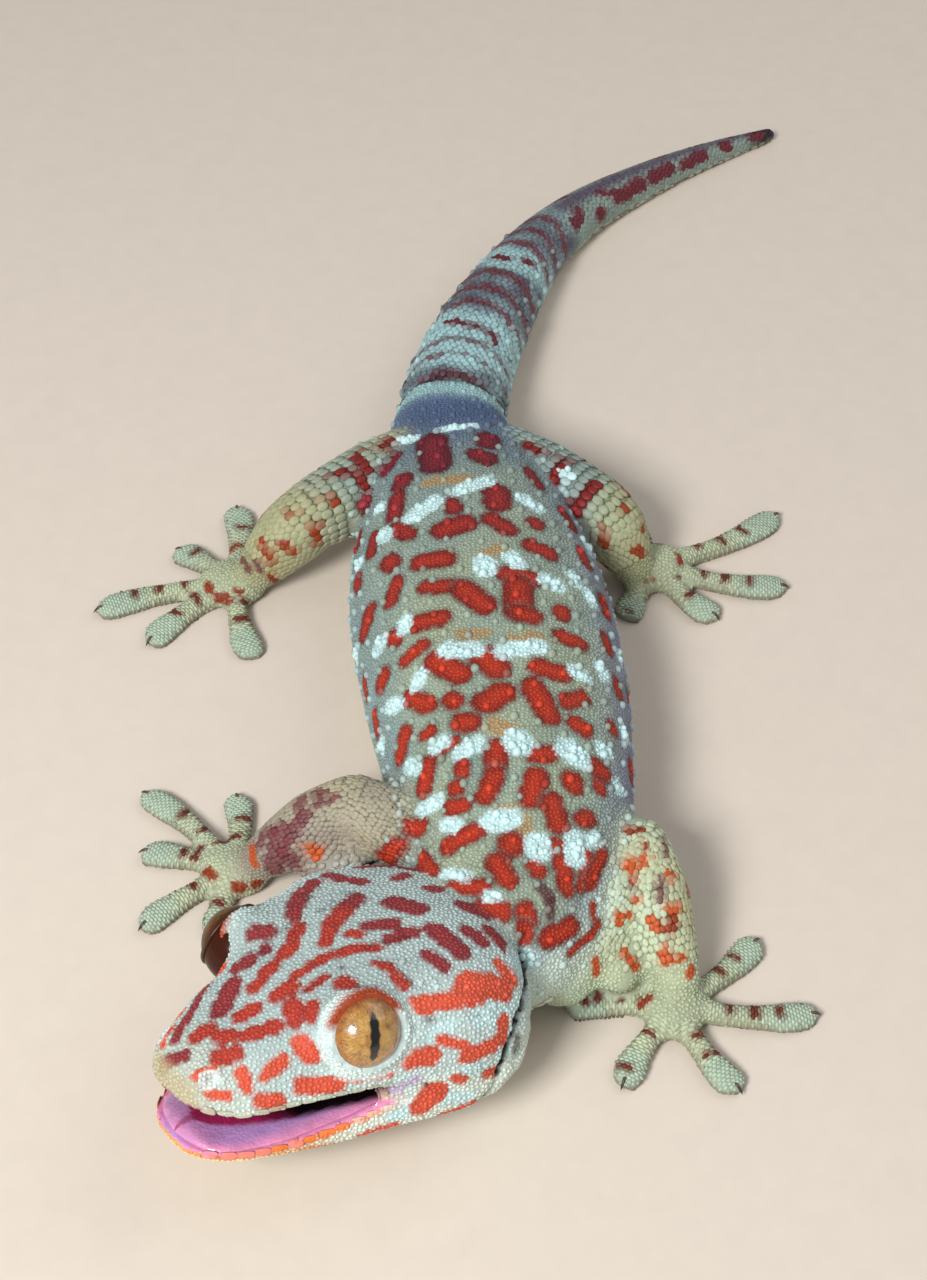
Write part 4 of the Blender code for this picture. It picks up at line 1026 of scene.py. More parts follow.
# On the toes, from the inner one out: the shares of the way to the tip at which a dark spot lies
TOE_SPOTS = {
    "arm_left": [(0.42, 0.68, 0.8), (0.33, 0.8), (0.28, 0.52), (0.3, 0.5, 0.7), (0.45, 0.66)],
    "arm_right": [(0.24, 0.5), (0.14, 0.33), (0.34, 0.5), (0.14, 0.33, 0.57), (0.3, 0.6)],
    "leg_left": [(0.18, 0.9), (0.2, 0.53), (0.3, 0.48, 0.68), (0.24, 0.44, 0.64), (0.3, 0.5)],
    "leg_right": [(0.2, 0.46), (0.3, 0.56), (0.25, 0.47, 0.67), (0.1, 0.7), (0.35, 0.65)],
}
# On the palms: away from the middle of the palm to the right and backwards, the other end, half-width in mm
PALM_SPOTS = {
    "arm_left": [(-4.4, 0.1, 2.2, 1.6, 0.35), (-1.6, 3.2, -0.8, 3.4, 0.4)],
    "arm_right": [(-0.8, 1.6, -0.9, -0.7, 0.42), (3.3, -2.9, 3.4, -3.3, 0.45), (0.4, -3.7, 1.2, -4.1, 0.4),
                  (-3.7, -1.1, -2.9, -1.9, 0.4)],
    "leg_left": [(3.6, 1.0, 3.9, -0.2, 0.5), (-1.6, -3.4, -0.6, -3.3, 0.45), (0.6, 3.4, 1.4, 2.6, 0.4),
                 (-3.2, 0.4, -2.6, -0.6, 0.4)],
    "leg_right": [(-2.4, 1.2, -2.0, -0.5, 0.5), (0.3, -1.8, 1.2, -3.2, 0.45),
                  (-2.1, -4.2, -0.7, -4.6, 0.45), (-0.8, 7.4, -0.4, 8.0, 0.5),
                  (-3.6, -1.6, -3.4, -2.6, 0.4), (2.6, 1.2, 3.0, 0.2, 0.35)],
}


def limb_nodes(name):
    """The names of a limb's three solids, from the body out."""
    kind, side = name.split("_")
    return [word + "_" + side for word in LIMB_NODES[kind]]


def limb_path(name, steps=60):
    """Points along the middle of a limb from its root to the wrist or ankle, in millimetres."""
    root, bend, end = (np.array(p) for p in LIMBS[name][:3])
    rows = [root, (root + bend) / 2 + (0, 0, 0.8), bend, bend + 0.45 * (end - bend) + (0, 0, 0.6), end]
    return smooth_rows(rows, np.linspace(0, 4, steps))


def toe_path(name, number, steps=24):
    """Points along the middle of a toe from the palm to its tip, with the slight bow of the solid."""
    palm = np.array(LIMBS[name][3])
    tip = np.array(LIMBS[name][4][number])
    start = palm + 0.12 * (tip - palm)
    heading = (tip - start) / np.linalg.norm(tip - start)
    aside = np.array((heading[1], -heading[0]))
    share = np.linspace(0, 1, steps)[:, None]
    bow = aside * (0.05 * np.linalg.norm(tip - start)) * np.sin(np.pi * share)
    flat = start + share * (tip - start) + bow
    return np.column_stack([flat, np.full(steps, 1.0)])


def path_frame(path, place):
    """Point, heading, side and upward direction at a share of the way along a path."""
    at = place * (len(path) - 1)
    i = int(np.clip(at, 0, len(path) - 2))
    point = Vector(path[i] + (path[i + 1] - path[i]) * (at - i))
    heading = Vector(path[min(i + 2, len(path) - 1)] - path[max(i - 1, 0)]).normalized()
    side = heading.cross(Vector((0, 0, 1))).normalized()
    return point, heading, side, side.cross(heading)


def on_path(path, place, degrees, reach=12):
    """The skin around a path, found from inside, with its normal and face; 0 degrees is up."""
    point, heading, side, up = path_frame(path, place)
    turn = math.radians(degrees)
    return tree.ray_cast(point, side * math.sin(turn) + up * math.cos(turn), reach)


def share_along(path, chosen):
    """The share of the way along a path and the distance from it, for chosen points."""
    gaps = np.linalg.norm(points[chosen][:, None, :] - path[None], axis=2)
    nearest = np.argmin(gaps, axis=1)
    return nearest / (len(path) - 1), gaps[np.arange(len(chosen)), nearest]


limb_share = np.full(count, 9.0)
toe_share = np.zeros(count)
for name in LIMBS:
    arm_points = np.nonzero(part_mask(*limb_nodes(name)[:2]))[0]
    hand_points = np.nonzero(part_mask(limb_nodes(name)[2]))[0]
    limb_share[arm_points] = share_along(limb_path(name), arm_points)[0]
    best = np.full(len(hand_points), 99.0)
    for number in range(5):
        share, gap = share_along(toe_path(name, number), hand_points)
        closer = gap < best
        toe_share[hand_points[closer]] = share[closer]
        best = np.minimum(best, gap)
fringe = between(-np.abs(normals[:, 2]), -0.55, -0.15) * between(-points[:, 2], -1.4, -0.7)
wash(hands * between(toe_share, 0.5, 0.66), TONES["toe"])
wash(hands * between(toe_share, 0.3, 0.5) * fringe * 0.6, TONES["sole"])
wash(hands * between(-normals[:, 2], 0.35, 0.7), TONES["sole"])
# A brown fringe round the sides of each toe, made stronger on the sides that face +y as painted shadow.
rim_of_toe = hands * between(toe_share, 0.15, 0.4) * between(-np.abs(normals[:, 2]), -0.8, -0.4)
wash(rim_of_toe * (0.3 + 0.5 * (normals[:, 1] > 0)), TONES["toe fringe and shadow"])
for name in LIMBS:
    path = limb_path(name)
    members = np.nonzero(part_mask(*limb_nodes(name)))[0]
    for place0, turn0, place1, turn1, width, ink in LIMB_SPOTS[name]:
        first = on_path(path, place0, turn0)[0]
        second = on_path(path, place1, turn1)[0]
        ragged, strength = (0.6, 0.85) if ink == "maroon" else (0.25, 1.0)
        if first and second:
            lay(first, second, width, INK[ink], members, ragged=ragged, strength=strength)
    for number, spots in enumerate(TOE_SPOTS[name]):
        path = toe_path(name, number)
        for place in spots:
            point, _, across, _ = path_frame(path, place)
            top = point + Vector((0, 0, 1.2))
            far = across if across.y > 0 else -across
            lay(top - far * random.uniform(0, 0.4), top + far * 1.5, 0.45, INK["bar"], members)
    palm = Vector((*LIMBS[name][3], 3))
    for x0, y0, x1, y1, width in PALM_SPOTS[name]:
        lay(palm + Vector((x0, y0, 0)), palm + Vector((x1, y1, 0)), width + 0.3, INK["limb"], members)

bulge = back_mm + 3.0 * between(np.abs(back_degrees), 15, 70)
for along, width in TAIL_RINGS:
    band = np.clip((width + 0.6 * speckle - np.abs(bulge - along)) / 0.5 + 0.5, 0, 1)
    band *= is_tail * (1 - between(np.abs(back_degrees), 75, 105))
    wash(band * 0.85, INK["tail ring"])
lay_all(TAIL_DASHES, on_back, INK["tail ring"], np.nonzero(is_tail)[0], ragged=0.4)
# Painted shade darkens the deepest pinch at the root of the tail.
pinch = np.clip((0.55 + 0.3 * speckle - np.abs(bulge - TAIL_PINCHES[0][0] - 0.4)) / 0.4 + 0.5, 0, 1)
wash(pinch * is_body * (1 - between(np.abs(back_degrees), 80, 110)), INK["dark"])
paint = np.clip(paint, 0.004, 1)
print("limbs:", len(LIMBS), "tail rings:", len(TAIL_RINGS))

# %% [markdown]
# ## Hand the measures to the skin
# The scales are grown by Geometry Nodes, which read what they need from attributes on the skin: its
# colour, which way is out, which way the scales lie (towards the tail and the toe tips), and where each
# kind of scale grows. The skin is also unwrapped onto a flat sheet, so that every scale can be given a
# place on it.

# %% Hand the measures to the skin
BELLY_DEGREES = 104
FRONT_END = 66            # millimetres along the back that part the front of the back from the rear
TAIL_START = 126.5


def set_attribute(mesh, name, values):
    """Stores a number, a direction or a colour for each point of a mesh under a name."""
    values = np.asarray(values, np.float32)
    columns = 1 if values.ndim == 1 else values.shape[1]
    kind, key = {1: ("FLOAT", "value"), 3: ("FLOAT_VECTOR", "vector"), 4: ("FLOAT_COLOR", "color")}[columns]
    attribute = mesh.attributes.get(name) or mesh.attributes.new(name, kind, "POINT")
    attribute.data.foreach_set(key, values.ravel())


lie = np.zeros((count, 3))
lie[:, :2] = back_heading[nearest_on_back(points)]
lie[is_head] = np.array(head_turn @ Vector((1, 0, 0.1)))
for name in LIMBS:
    members = np.nonzero(part_mask(*limb_nodes(name)))[0]
    path = limb_path(name)
    heading = np.gradient(path, axis=0)
    nearest = np.round(share_along(path, members)[0] * (len(path) - 1)).astype(int)
    lie[members] = heading[nearest]
bare = mouth.copy()
for eye in eye_frames:
    depth, radius, _ = eye_measures(eye)
    bare |= (depth > 0) & (depth < 8) & (radius < RIM_RADIUS + 0.35) & is_head
for side in (-1, 1):
    bare |= nostril_distance(side) < 0.75
for start, end in jaw_fold(1):
    bare |= distance_to(points, start, end) < 0.4
wide_angle = np.abs(back_degrees)
trunk = part_mask("neck", "torso") | (part_mask("tail_base") & (back_mm < TAIL_START))
top_limb = part_mask("thigh") & (limb_share < 0.3) | part_mask("upper_arm") & (limb_share < 0.16)
wrists = part_mask("forearm", "shank") & (limb_share > 0.93)
beds = {
    "head_bed": is_head & ~bare,
    "front_bed": trunk & (back_mm < FRONT_END) & (wide_angle < BELLY_DEGREES) & ~bare,
    "rear_bed": (trunk & (back_mm >= FRONT_END) & (wide_angle < BELLY_DEGREES)) | top_limb,
    "belly_bed": (trunk | is_tail) & (wide_angle >= BELLY_DEGREES),
    "palm_bed": hands & ((toe_share < 0.15) | (normals[:, 2] < -0.3)) | wrists,
}
for name, bed in beds.items():
    set_attribute(skin.data, name, bed)
set_attribute(skin.data, "paint", np.column_stack([paint, np.ones(count)]))
set_attribute(skin.data, "out", normals)
set_attribute(skin.data, "lie", lie)
set_attribute(skin.data, "wet", mouth)

bpy.context.view_layer.objects.active = skin
skin.select_set(True)
bpy.ops.object.mode_set(mode="EDIT")
bpy.ops.mesh.select_all(action="SELECT")
bpy.ops.uv.smart_project(angle_limit=math.radians(66), island_margin=0.0008)
bpy.ops.object.mode_set(mode="OBJECT")
skin.data.uv_layers[0].name = "OFBake"
print("beds:", {name: int(bed.sum()) for name, bed in beds.items()})

# %% [markdown]
# ## Node helpers and shared effects
# Materials and Geometry Nodes are both trees of nodes. One helper adds a node, sets it up and joins its
# inputs, so that a tree reads from top to bottom, and short ones stand for the kinds that occur most. Two
# effects are shared by several finishes and become node groups: the fine mottling of living skin, and the
# painted shade that darkens the narrow furrows between scales.

# %% Node helpers and shared effects
MIDDLE_GREY = (0.5, 0.5, 0.5, 1)


def add(tree, kind, inputs=(), **settings):
    """Adds a node; its open inputs are filled in order by other nodes' outputs or by plain values."""
    made = tree.nodes.new(kind)
    for key, value in settings.items():
        setattr(made, key, value)
    for socket, value in zip([s for s in made.inputs if s.enabled], inputs):
        if isinstance(value, bpy.types.NodeSocket):
            tree.links.new(value, socket)
        elif value is not None:
            socket.default_value = value
    return [s for s in made.outputs if s.enabled]


def calc(tree, operation, *values):
    return add(tree, "ShaderNodeMath", values, operation=operation)[0]


def stretch(tree, value, *limits):
    """Maps a value from between the first two limits to between the last two."""
    return add(tree, "ShaderNodeMapRange", [value, *limits])[0]


def blend(tree, share, first, second, way="MIX"):
    return add(tree, "ShaderNodeMix", [share, first, second], data_type="RGBA", blend_type=way)[0]


def own_place(tree):
    """The place on the object itself, in metres."""
    return add(tree, "ShaderNodeTexCoord")[3]


def painted(tree, name, kind):
    """A value stored on the mesh, read as a colour (0), a direction (1) or a number (2)."""
    return add(tree, "ShaderNodeAttribute", attribute_name=name)[kind]


def new_group(name, kind, sockets_in, sockets_out):
    """An empty node group with its named inputs and outputs; returns it and its inner input sockets."""
    group = bpy.data.node_groups.new(name, kind)
    for label, holds, value in sockets_in:
        socket = group.interface.new_socket(label, in_out="INPUT", socket_type="NodeSocket" + holds)
        if value is not None:
            socket.default_value = value
    for label, holds in sockets_out:
        group.interface.new_socket(label, in_out="OUTPUT", socket_type="NodeSocket" + holds)
    return group, group.nodes.new("NodeGroupInput").outputs


def make_mottle():
    """Living skin: flecks of lighter and darker pigment, and a roughness that varies with them."""
    group, given = new_group(
        "mottle", "ShaderNodeTree",
        [("Colour", "Color", MIDDLE_GREY), ("Fleck", "Float", 900.0), ("Amount", "Float", 0.3),
         ("Roughness", "Float", 0.55)],
        [("Colour", "Color"), ("Roughness", "Float"), ("Height", "Float")])
    place = own_place(group)
    fleck = add(group, "ShaderNodeTexNoise", [place, given[1], 3.0, 0.6])[0]
    cloudy = add(group, "ShaderNodeTexNoise", [place, 140.0, 2.0, 0.5])[0]
    value = stretch(group, calc(group, "MULTIPLY_ADD", cloudy, 0.5, fleck), 0.5, 1.0, -1.0, 1.0)
    scaled = calc(group, "MULTIPLY_ADD", value, given[2], 1.0)
    tinted = add(group, "ShaderNodeHueSaturation", [0.5, 1.0, scaled, 1.0, given[0]])[0]
    rough = calc(group, "MULTIPLY_ADD", value, 0.12, given[3])
    out = group.nodes.new("NodeGroupOutput")
    for socket, value in zip(out.inputs, (tinted, rough, fleck)):
        group.links.new(value, socket)
    return group


def make_furrow_shade():
    """Painted shade at the foot of each scale, and a slight painted highlight on its crown."""
    group, given = new_group(
        "furrow", "ShaderNodeTree",
        [("Colour", "Color", MIDDLE_GREY), ("Height", "Float", 1.0), ("Foot", "Float", 0.5)],
        [("Colour", "Color")])
    lift = stretch(group, given[1], 0.0, 0.75, given[2], 1.06)
    tinted = add(group, "ShaderNodeHueSaturation", [0.5, 1.04, lift, 1.0, given[0]])[0]
    out = group.nodes.new("NodeGroupOutput")
    group.links.new(tinted, out.inputs[0])
    return group


MOTTLE = make_mottle()
FURROW_SHADE = make_furrow_shade()
print("shared effects:", MOTTLE.name, FURROW_SHADE.name)

# %% [markdown]
# ## The finishes
# Scales are dry and a little shiny, with a slight painted highlight on their crowns and painted shade at
# their feet; the skin between them is darkened by painted shade, and the lining of the mouth is wet. Each
# finish takes its colour from the painted attribute, which the scales inherit from the skin.

# %% The finishes
def new_finish(name, **values):
    """A material with a Principled shader, whose plain values are set on its own sockets."""
    material = bpy.data.materials.new(name)
    material.use_nodes = True
    shader = material.node_tree.nodes["Principled BSDF"]
    for key, value in values.items():
        shader.inputs[key.replace("_", " ")].default_value = value
    return material, material.node_tree, shader


def place_group(tree, group, inputs):
    """Puts a shared effect into a finish, with its own values."""
    return add(tree, "ShaderNodeGroup", inputs, node_tree=group)


def join_shader(nodes, shader, tint, rough, relief, strength, depth):
    """Joins a colour, a roughness and a relief to the shader; the depth of the relief is in metres."""
    nodes.links.new(tint, shader.inputs["Base Color"])
    nodes.links.new(rough, shader.inputs["Roughness"])
    bump = add(nodes, "ShaderNodeBump", [strength, depth, None, relief])[0]
    nodes.links.new(bump, shader.inputs["Normal"])


def make_scale_finish(name, roughness, fleck, amount, foot):
    material, nodes, shader = new_finish(name, Specular_IOR_Level=0.42)
    # The furrow effect paints shade at the foot of each scale; foot sets how dark it gets.
    dark = place_group(nodes, FURROW_SHADE, [painted(nodes, "paint", 0), painted(nodes, "rise", 2), foot])[0]
    tint, rough, grain = place_group(nodes, MOTTLE, [dark, fleck, amount, roughness])
    join_shader(nodes, shader, tint, rough, grain, 0.35, 0.00005)
    return material


def make_skin_finish():
    material, nodes, shader = new_finish("gecko skin", Specular_IOR_Level=0.4, Coat_Roughness=0.12)
    wet = painted(nodes, "wet", 2)
    cells = add(nodes, "ShaderNodeTexVoronoi", [own_place(nodes), 1600.0])[0]
    # The skin between the scales gets painted shade, except in the wet lining of the mouth.
    level = stretch(nodes, wet, 0.0, 1.0, 0.4, 1.0)
    dark = place_group(nodes, FURROW_SHADE, [painted(nodes, "paint", 0), level, 0.55])[0]
    tint, rough, _ = place_group(nodes, MOTTLE, [dark, 1100.0, 0.18, 0.6])
    smooth = calc(nodes, "MULTIPLY_ADD", wet, -0.34, rough)
    relief = calc(nodes, "MULTIPLY", calc(nodes, "SUBTRACT", 1.0, cells), calc(nodes, "SUBTRACT", 1.0, wet))
    nodes.links.new(wet, shader.inputs["Coat Weight"])
    join_shader(nodes, shader, tint, smooth, relief, 0.6, 0.0001)
    return material


SKIN_FINISH = make_skin_finish()
GRAIN_FINISH = make_scale_finish("granular scales", 0.6, 1500.0, 0.2, 0.76)
PLATE_FINISH = make_scale_finish("flat scales", 0.55, 1100.0, 0.18, 0.48)
print("finishes:", SKIN_FINISH.name, GRAIN_FINISH.name, PLATE_FINISH.name)

# %% [markdown]
# ## The shapes of the scales
# Five shapes make the whole coat. Grains are low domes set side by side, tubercles are raised knobs,
# shields overlap like roof tiles, ribs make bars across the toes, and plates edge the lips and lie under
# the toes. Each is a closed mesh of a few dozen faces, one unit across, whose points remember their
# height and their place on the scale.

# %% The shapes of the scales
def lathe_scale(name, rings, sides, top, roundness=1.0):
    """A closed scale from rings of (length, width, forward shift, height, tilt); X points to the tail."""
    bm = bmesh.new()
    loops = []
    for length, width, shift, height, tilt in rings:
        loop = []
        for k in range(sides):
            a = 2 * math.pi * (k + 0.5) / sides
            x = math.copysign(abs(math.cos(a)) ** roundness, math.cos(a)) * length / 2
            y = math.copysign(abs(math.sin(a)) ** roundness, math.sin(a)) * width / 2
            loop.append(bm.verts.new((x + shift, y, height + tilt * x)))
        loops.append(loop)
    for low, high in zip(loops, loops[1:]):
        for k in range(sides):
            bm.faces.new((low[k], low[(k + 1) % sides], high[(k + 1) % sides], high[k]))
    tip = bm.verts.new(top)
    for k in range(sides):
        bm.faces.new((loops[-1][k], loops[-1][(k + 1) % sides], tip))
    bm.faces.new(list(reversed(loops[0])))
    bmesh.ops.triangulate(bm, faces=bm.faces)
    mesh = new_mesh(name, bm)
    mesh.shade_smooth()
    at = read_points(mesh)
    set_attribute(mesh, "rise", between(at[:, 2], 0, top[2]))
    set_attribute(mesh, "local", at * (1, 1, 0))
    print(name, len(mesh.polygons), "faces")
    return bpy.data.objects.new(name, mesh)


GRAIN = lathe_scale("grain", [(1.0, 1.0, 0, -0.16, 0), (0.9, 0.9, 0, 0.1, 0)], 5, (0.04, 0, 0.21))
KNOB = lathe_scale(
    "tubercle", [(1.0, 1.0, 0, -0.15, 0), (0.86, 0.84, 0.02, 0.18, 0), (0.46, 0.4, 0.08, 0.36, 0)], 7,
    (0.12, 0, 0.43))
SHIELD = lathe_scale(
    "shield", [(1.1, 1.04, 0, -0.06, 0.1), (1.14, 1.08, 0.02, 0.06, 0.14), (0.72, 0.68, 0.02, 0.17, 0.14)],
    9, (0.04, 0, 0.2))
RIB = lathe_scale("rib", [(1.0, 1.0, 0, -0.12, 0), (0.9, 0.96, 0, 0.14, 0)], 8, (0, 0, 0.22))
PLATE = lathe_scale(
    "plate", [(1.0, 1.0, 0, -0.12, 0), (0.96, 0.96, 0, 0.08, 0), (0.74, 0.74, 0, 0.16, 0)], 12,
    (0, 0, 0.18), roundness=0.6)

# %% [markdown]
# ## The coat grower
# One Geometry Nodes tree grows every kind of scale. It either scatters roots on the skin, no two closer
# than a given spacing, or takes roots that a rule has laid. Each scale is turned to stand outwards and to
# lie towards the tail, and it keeps the colour of its root. Its patch of the flat sheet is three
# thousandths wide.

# %% The coat grower
PATCH = 0.003


def make_grower():
    """The tree that grows scales, with a named input for each thing that differs."""
    tree, given = new_group(
        "grow scales", "GeometryNodeTree",
        [("Roots", "Geometry", None), ("Scatter", "Bool", True), ("Spacing", "Float", 0.001),
         ("Bed", "String", "head_bed"), ("Shape", "Object", None), ("Finish", "Material", None),
         ("Seed", "Int", 1), ("Size", "Float", 1.0), ("Jitter", "Float", 0.12)],
        [("Scales", "Geometry")])
    roots, scatter, spacing, bed, shape, finish, seed, size, jitter = given[:9]

    def named(name, kind="FLOAT_VECTOR"):
        return add(tree, "GeometryNodeInputNamedAttribute", [name], data_type=kind)[0]

    def keep(geometry, name, kind, domain, value):
        return add(tree, "GeometryNodeStoreNamedAttribute", [geometry, True, name, value],
                   data_type=kind, domain=domain)[0]

    def turn(start, axis, pivot, target):
        return add(tree, "FunctionNodeAlignRotationToVector", [start, 1.0, named(target)],
                   axis=axis, pivot_axis=pivot)[0]

    def scaled(name, by):
        return add(tree, "ShaderNodeVectorMath", [named(name), by], operation="SCALE")[0]

    density = calc(tree, "MULTIPLY", calc(tree, "POWER", spacing, -2.0), 3.0)
    sown = add(tree, "GeometryNodeDistributePointsOnFaces",
               [roots, True, spacing, density, named(bed, "FLOAT"), seed], distribute_method="POISSON")[0]
    sown = keep(sown, "root_place", "FLOAT_VECTOR", "POINT", named("OFBake"))
    laid = add(tree, "GeometryNodeMeshToPoints", [roots])[0]
    places = add(tree, "GeometryNodeSwitch", [scatter, laid, sown], input_type="GEOMETRY")[0]
    turned = turn(turn(None, "Z", "AUTO", "out"), "X", "Z", "lie")
    least = calc(tree, "SUBTRACT", size, jitter)
    most = calc(tree, "ADD", size, jitter)
    chance = add(tree, "FunctionNodeRandomValue", [least, most, None, seed], data_type="FLOAT")[0]
    body = add(tree, "GeometryNodeObjectInfo", [shape])[-1]
    scales = add(tree, "GeometryNodeInstanceOnPoints",
                 [places, True, body, False, None, turned, scaled("size", chance)])[0]
    real = add(tree, "GeometryNodeRealizeInstances", [scales])[0]
    spot = add(tree, "ShaderNodeVectorMath", [named("root_place"), scaled("local", PATCH)],
               operation="ADD")[0]
    real = keep(real, "OFBake", "FLOAT2", "CORNER", spot)
    real = add(tree, "GeometryNodeSetMaterial", [real, True, finish])[0]
    out = tree.nodes.new("NodeGroupOutput")
    tree.links.new(real, out.inputs[0])
    return tree


GROWER = make_grower()
SOCKETS = {item.name: item.identifier for item in GROWER.interface.items_tree if item.in_out == "INPUT"}


def grow(name, roots, shape, finish, **values):
    """Grows one piece of coat on the roots, as a plain mesh in metres."""
    bearer = new_object(name, roots)
    grower = bearer.modifiers.new("grow", "NODES")
    grower.node_group = GROWER
    for label, value in {"Shape": shape, "Finish": finish, **values}.items():
        grower[SOCKETS[label]] = value
    mesh = evaluated_mesh(bearer)
    bpy.data.objects.remove(bearer)
    at = read_points(mesh)
    at[:, 2] = np.maximum(at[:, 2], 0.0)
    mesh.vertices.foreach_set("co", at.astype(np.float32).ravel())
    for leftover in ("out", "lie", "size", "local", "root_place", "wet", *beds):
        if leftover in mesh.attributes:
            mesh.attributes.remove(mesh.attributes[leftover])
    piece = new_object(name, mesh)
    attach(piece, "root")
    triangles = sum(len(p.vertices) - 2 for p in mesh.polygons)
    print(name, triangles, "triangles")


set_attribute(skin.data, "size", np.ones((count, 3)))
skin.data.transform(Matrix.Scale(MM, 4))
skin.data.update()
skin.data.shade_smooth()
skin.data.materials.clear()
skin.data.materials.append(SKIN_FINISH)
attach(skin, "root")
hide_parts(*FLESH)
# Piece, bed, least distance between its scales and their size in mm, shape
SCATTERED = [
    ("head_grains", "head_bed", 0.48, 0.62, GRAIN), ("front_grains", "front_bed", 0.48, 0.62, GRAIN),
    ("rear_grains", "rear_bed", 0.48, 0.62, GRAIN), ("belly_scales", "belly_bed", 1.15, 1.5, SHIELD),
    ("palm_grains", "palm_bed", 0.5, 0.64, GRAIN),
]
for seed, (name, bed, spacing, size, shape) in enumerate(SCATTERED):
    grow(name, skin.data, shape, PLATE_FINISH if shape == SHIELD else GRAIN_FINISH, Scatter=True,
         Spacing=spacing * MM, Bed=bed, Seed=seed + 1, Size=size * MM, Jitter=0.12 * size * MM)

# %% [markdown]
# ## Scales laid by rule
# On the limbs and toes the scales stand in rings or bars, each shifted by half a scale against the last,
# so that they overlap like tiles. Their roots are worked out here, from the skin itself, and the same
# grower then sets the scales on them. Each root takes the colour of the skin where it stands.

# %% Scales laid by rule
# From one ring of scales to the next in mm, at the elbow or knee and at the wrist or ankle
LIMB_PITCH = {"arm_left": (0.95, 0.85), "arm_right": (0.8, 0.75), "leg_left": (1.45, 1.0),
              "leg_right": (1.45, 1.0)}
RINGS_FROM, RINGS_TO = 0.1, 0.94      # shares of the way along the limb
RIB_PITCH = 0.45
SOLE_PLATES = 12                # under each toe
corner_place = np.zeros(len(skin.data.loops) * 2, np.float32)
skin.data.uv_layers["OFBake"].uv.foreach_get("vector", corner_place)
corner_place = corner_place.reshape(-1, 3, 2).mean(1)
face_points = np.zeros(len(skin.data.loops), np.int32)
skin.data.polygons.foreach_get("vertices", face_points)
face_points = face_points.reshape(-1, 3)


def new_roots():
    """Lists for the place, direction, size, colour and sheet place of each root."""
    return {"co": [], "out": [], "lie": [], "size": [], "paint": [], "root_place": []}


def add_root(roots, near, lie_way, size, tint=None, share=0.0, members=None):
    """Lays one root on the skin next to a point, in the skin's colour there mixed with its tint."""
    spot, normal, face, _ = tree.find_nearest(near)
    if members is not None and parts[face_points[face][0]] not in members:
        return
    colour = paint[face_points[face]].mean(0)
    if tint is not None:
        colour = colour + (tint - colour) * share
    roots["co"].append(spot * MM)
    roots["out"].append(normal)
    roots["lie"].append(lie_way)
    roots["size"].append([value * MM for value in size])
    roots["paint"].append((*colour, 1))
    roots["root_place"].append((*corner_place[face], 0))


def grow_laid(name, roots, shape, finish, jitter=0.06):
    """Grows one piece of coat on roots that a rule has laid."""
    mesh = bpy.data.meshes.new(name)
    mesh.from_pydata(roots["co"], [], [])
    for key in ("out", "lie", "size", "root_place"):
        set_attribute(mesh, key, roots[key])
    set_attribute(mesh, "paint", roots["paint"])
    return grow(name, mesh, shape, finish, Scatter=False, Jitter=jitter)


def path_length(path):
    return np.linalg.norm(np.diff(path, axis=0), axis=1).sum()


def limb_rings(name):
    """Overlapping round scales in rings from shoulder or hip to wrist or ankle."""
    roots = new_roots()
    members = node_ids(*limb_nodes(name))
    path = limb_path(name)
    length = path_length(path)
    place, row = RINGS_FROM, 0
    loose = 0.22 if "arm" in name else 0.08
    while place < RINGS_TO:
        pitch = np.interp(place, (0.3, 0.5, 1.0), (LIMB_PITCH[name][0] * 0.85, *LIMB_PITCH[name]))
        centre, heading, _, _ = path_frame(path, place)
        hits = [on_path(path, place, turn, 9)[0] for turn in range(0, 360, 60)]
        girth = 2 * math.pi * np.mean([(hit - centre).length for hit in hits if hit] or [4.0])
        across = max(8, round(girth / pitch))
        for k in range(across):
            turn = 360 * (k + 0.5 * (row % 2) + sway(loose)) / across
            hit = on_path(path, place + sway(loose) * pitch / length, turn, 9)[0]
            if hit:
                add_root(roots, hit, heading, (1.42 * pitch, 1.12 * pitch, 1.2 * pitch), members=members)
        place += pitch / length
        row += 1
    return roots


def toe_ribs(name, number, roots):
    """Bars of small scales across the top of a toe, three side by side and five on the pad."""
    path = toe_path(name, number)
    length = path_length(path)
    members = node_ids("hand", "foot")
    for row in range(int(length * 0.88 / RIB_PITCH)):
        place = 0.15 + row * RIB_PITCH / length
        if place > 0.985:
            break
        point, heading, across, _ = path_frame(path, place)
        sides = [tree.ray_cast(point, across * way, 4)[3] or 1.2 for way in (1, -1)]
        half = 0.5 * sum(sides)
        middle = point + across * (0.5 * (sides[0] - sides[1]))
        lanes = 5 if place > 0.6 else 3
        width = 2 * half / lanes
        for lane in range(-1, lanes + 1):
            offset = -half + width * (lane + 0.5 + 0.5 * (row % 2))
            if abs(offset) < half * 1.05:
                above = middle + across * (offset * 0.94) + Vector((0, 0, 4))
                hit = tree.ray_cast(above, Vector((0, 0, -1)), 6)[0]
                if hit:
                    add_root(roots, hit, heading, (1.08 * RIB_PITCH, width * 1.02, 0.5), members=members)


def toe_soles(name, number, roots):
    """Broad plates across the underside of a toe's pad."""
    path = toe_path(name, number)
    length = path_length(path)
    for row in range(SOLE_PLATES):
        place = 0.4 + 0.047 * row
        point, heading, across, _ = path_frame(path, place)
        half = tree.ray_cast(point, across, 4)[3] or 1.2
        add_root(roots, point - Vector((0, 0, 3)), heading, (0.05 * length, 1.7 * half, 0.2),
                 tint=TONES["belly"], share=0.3)


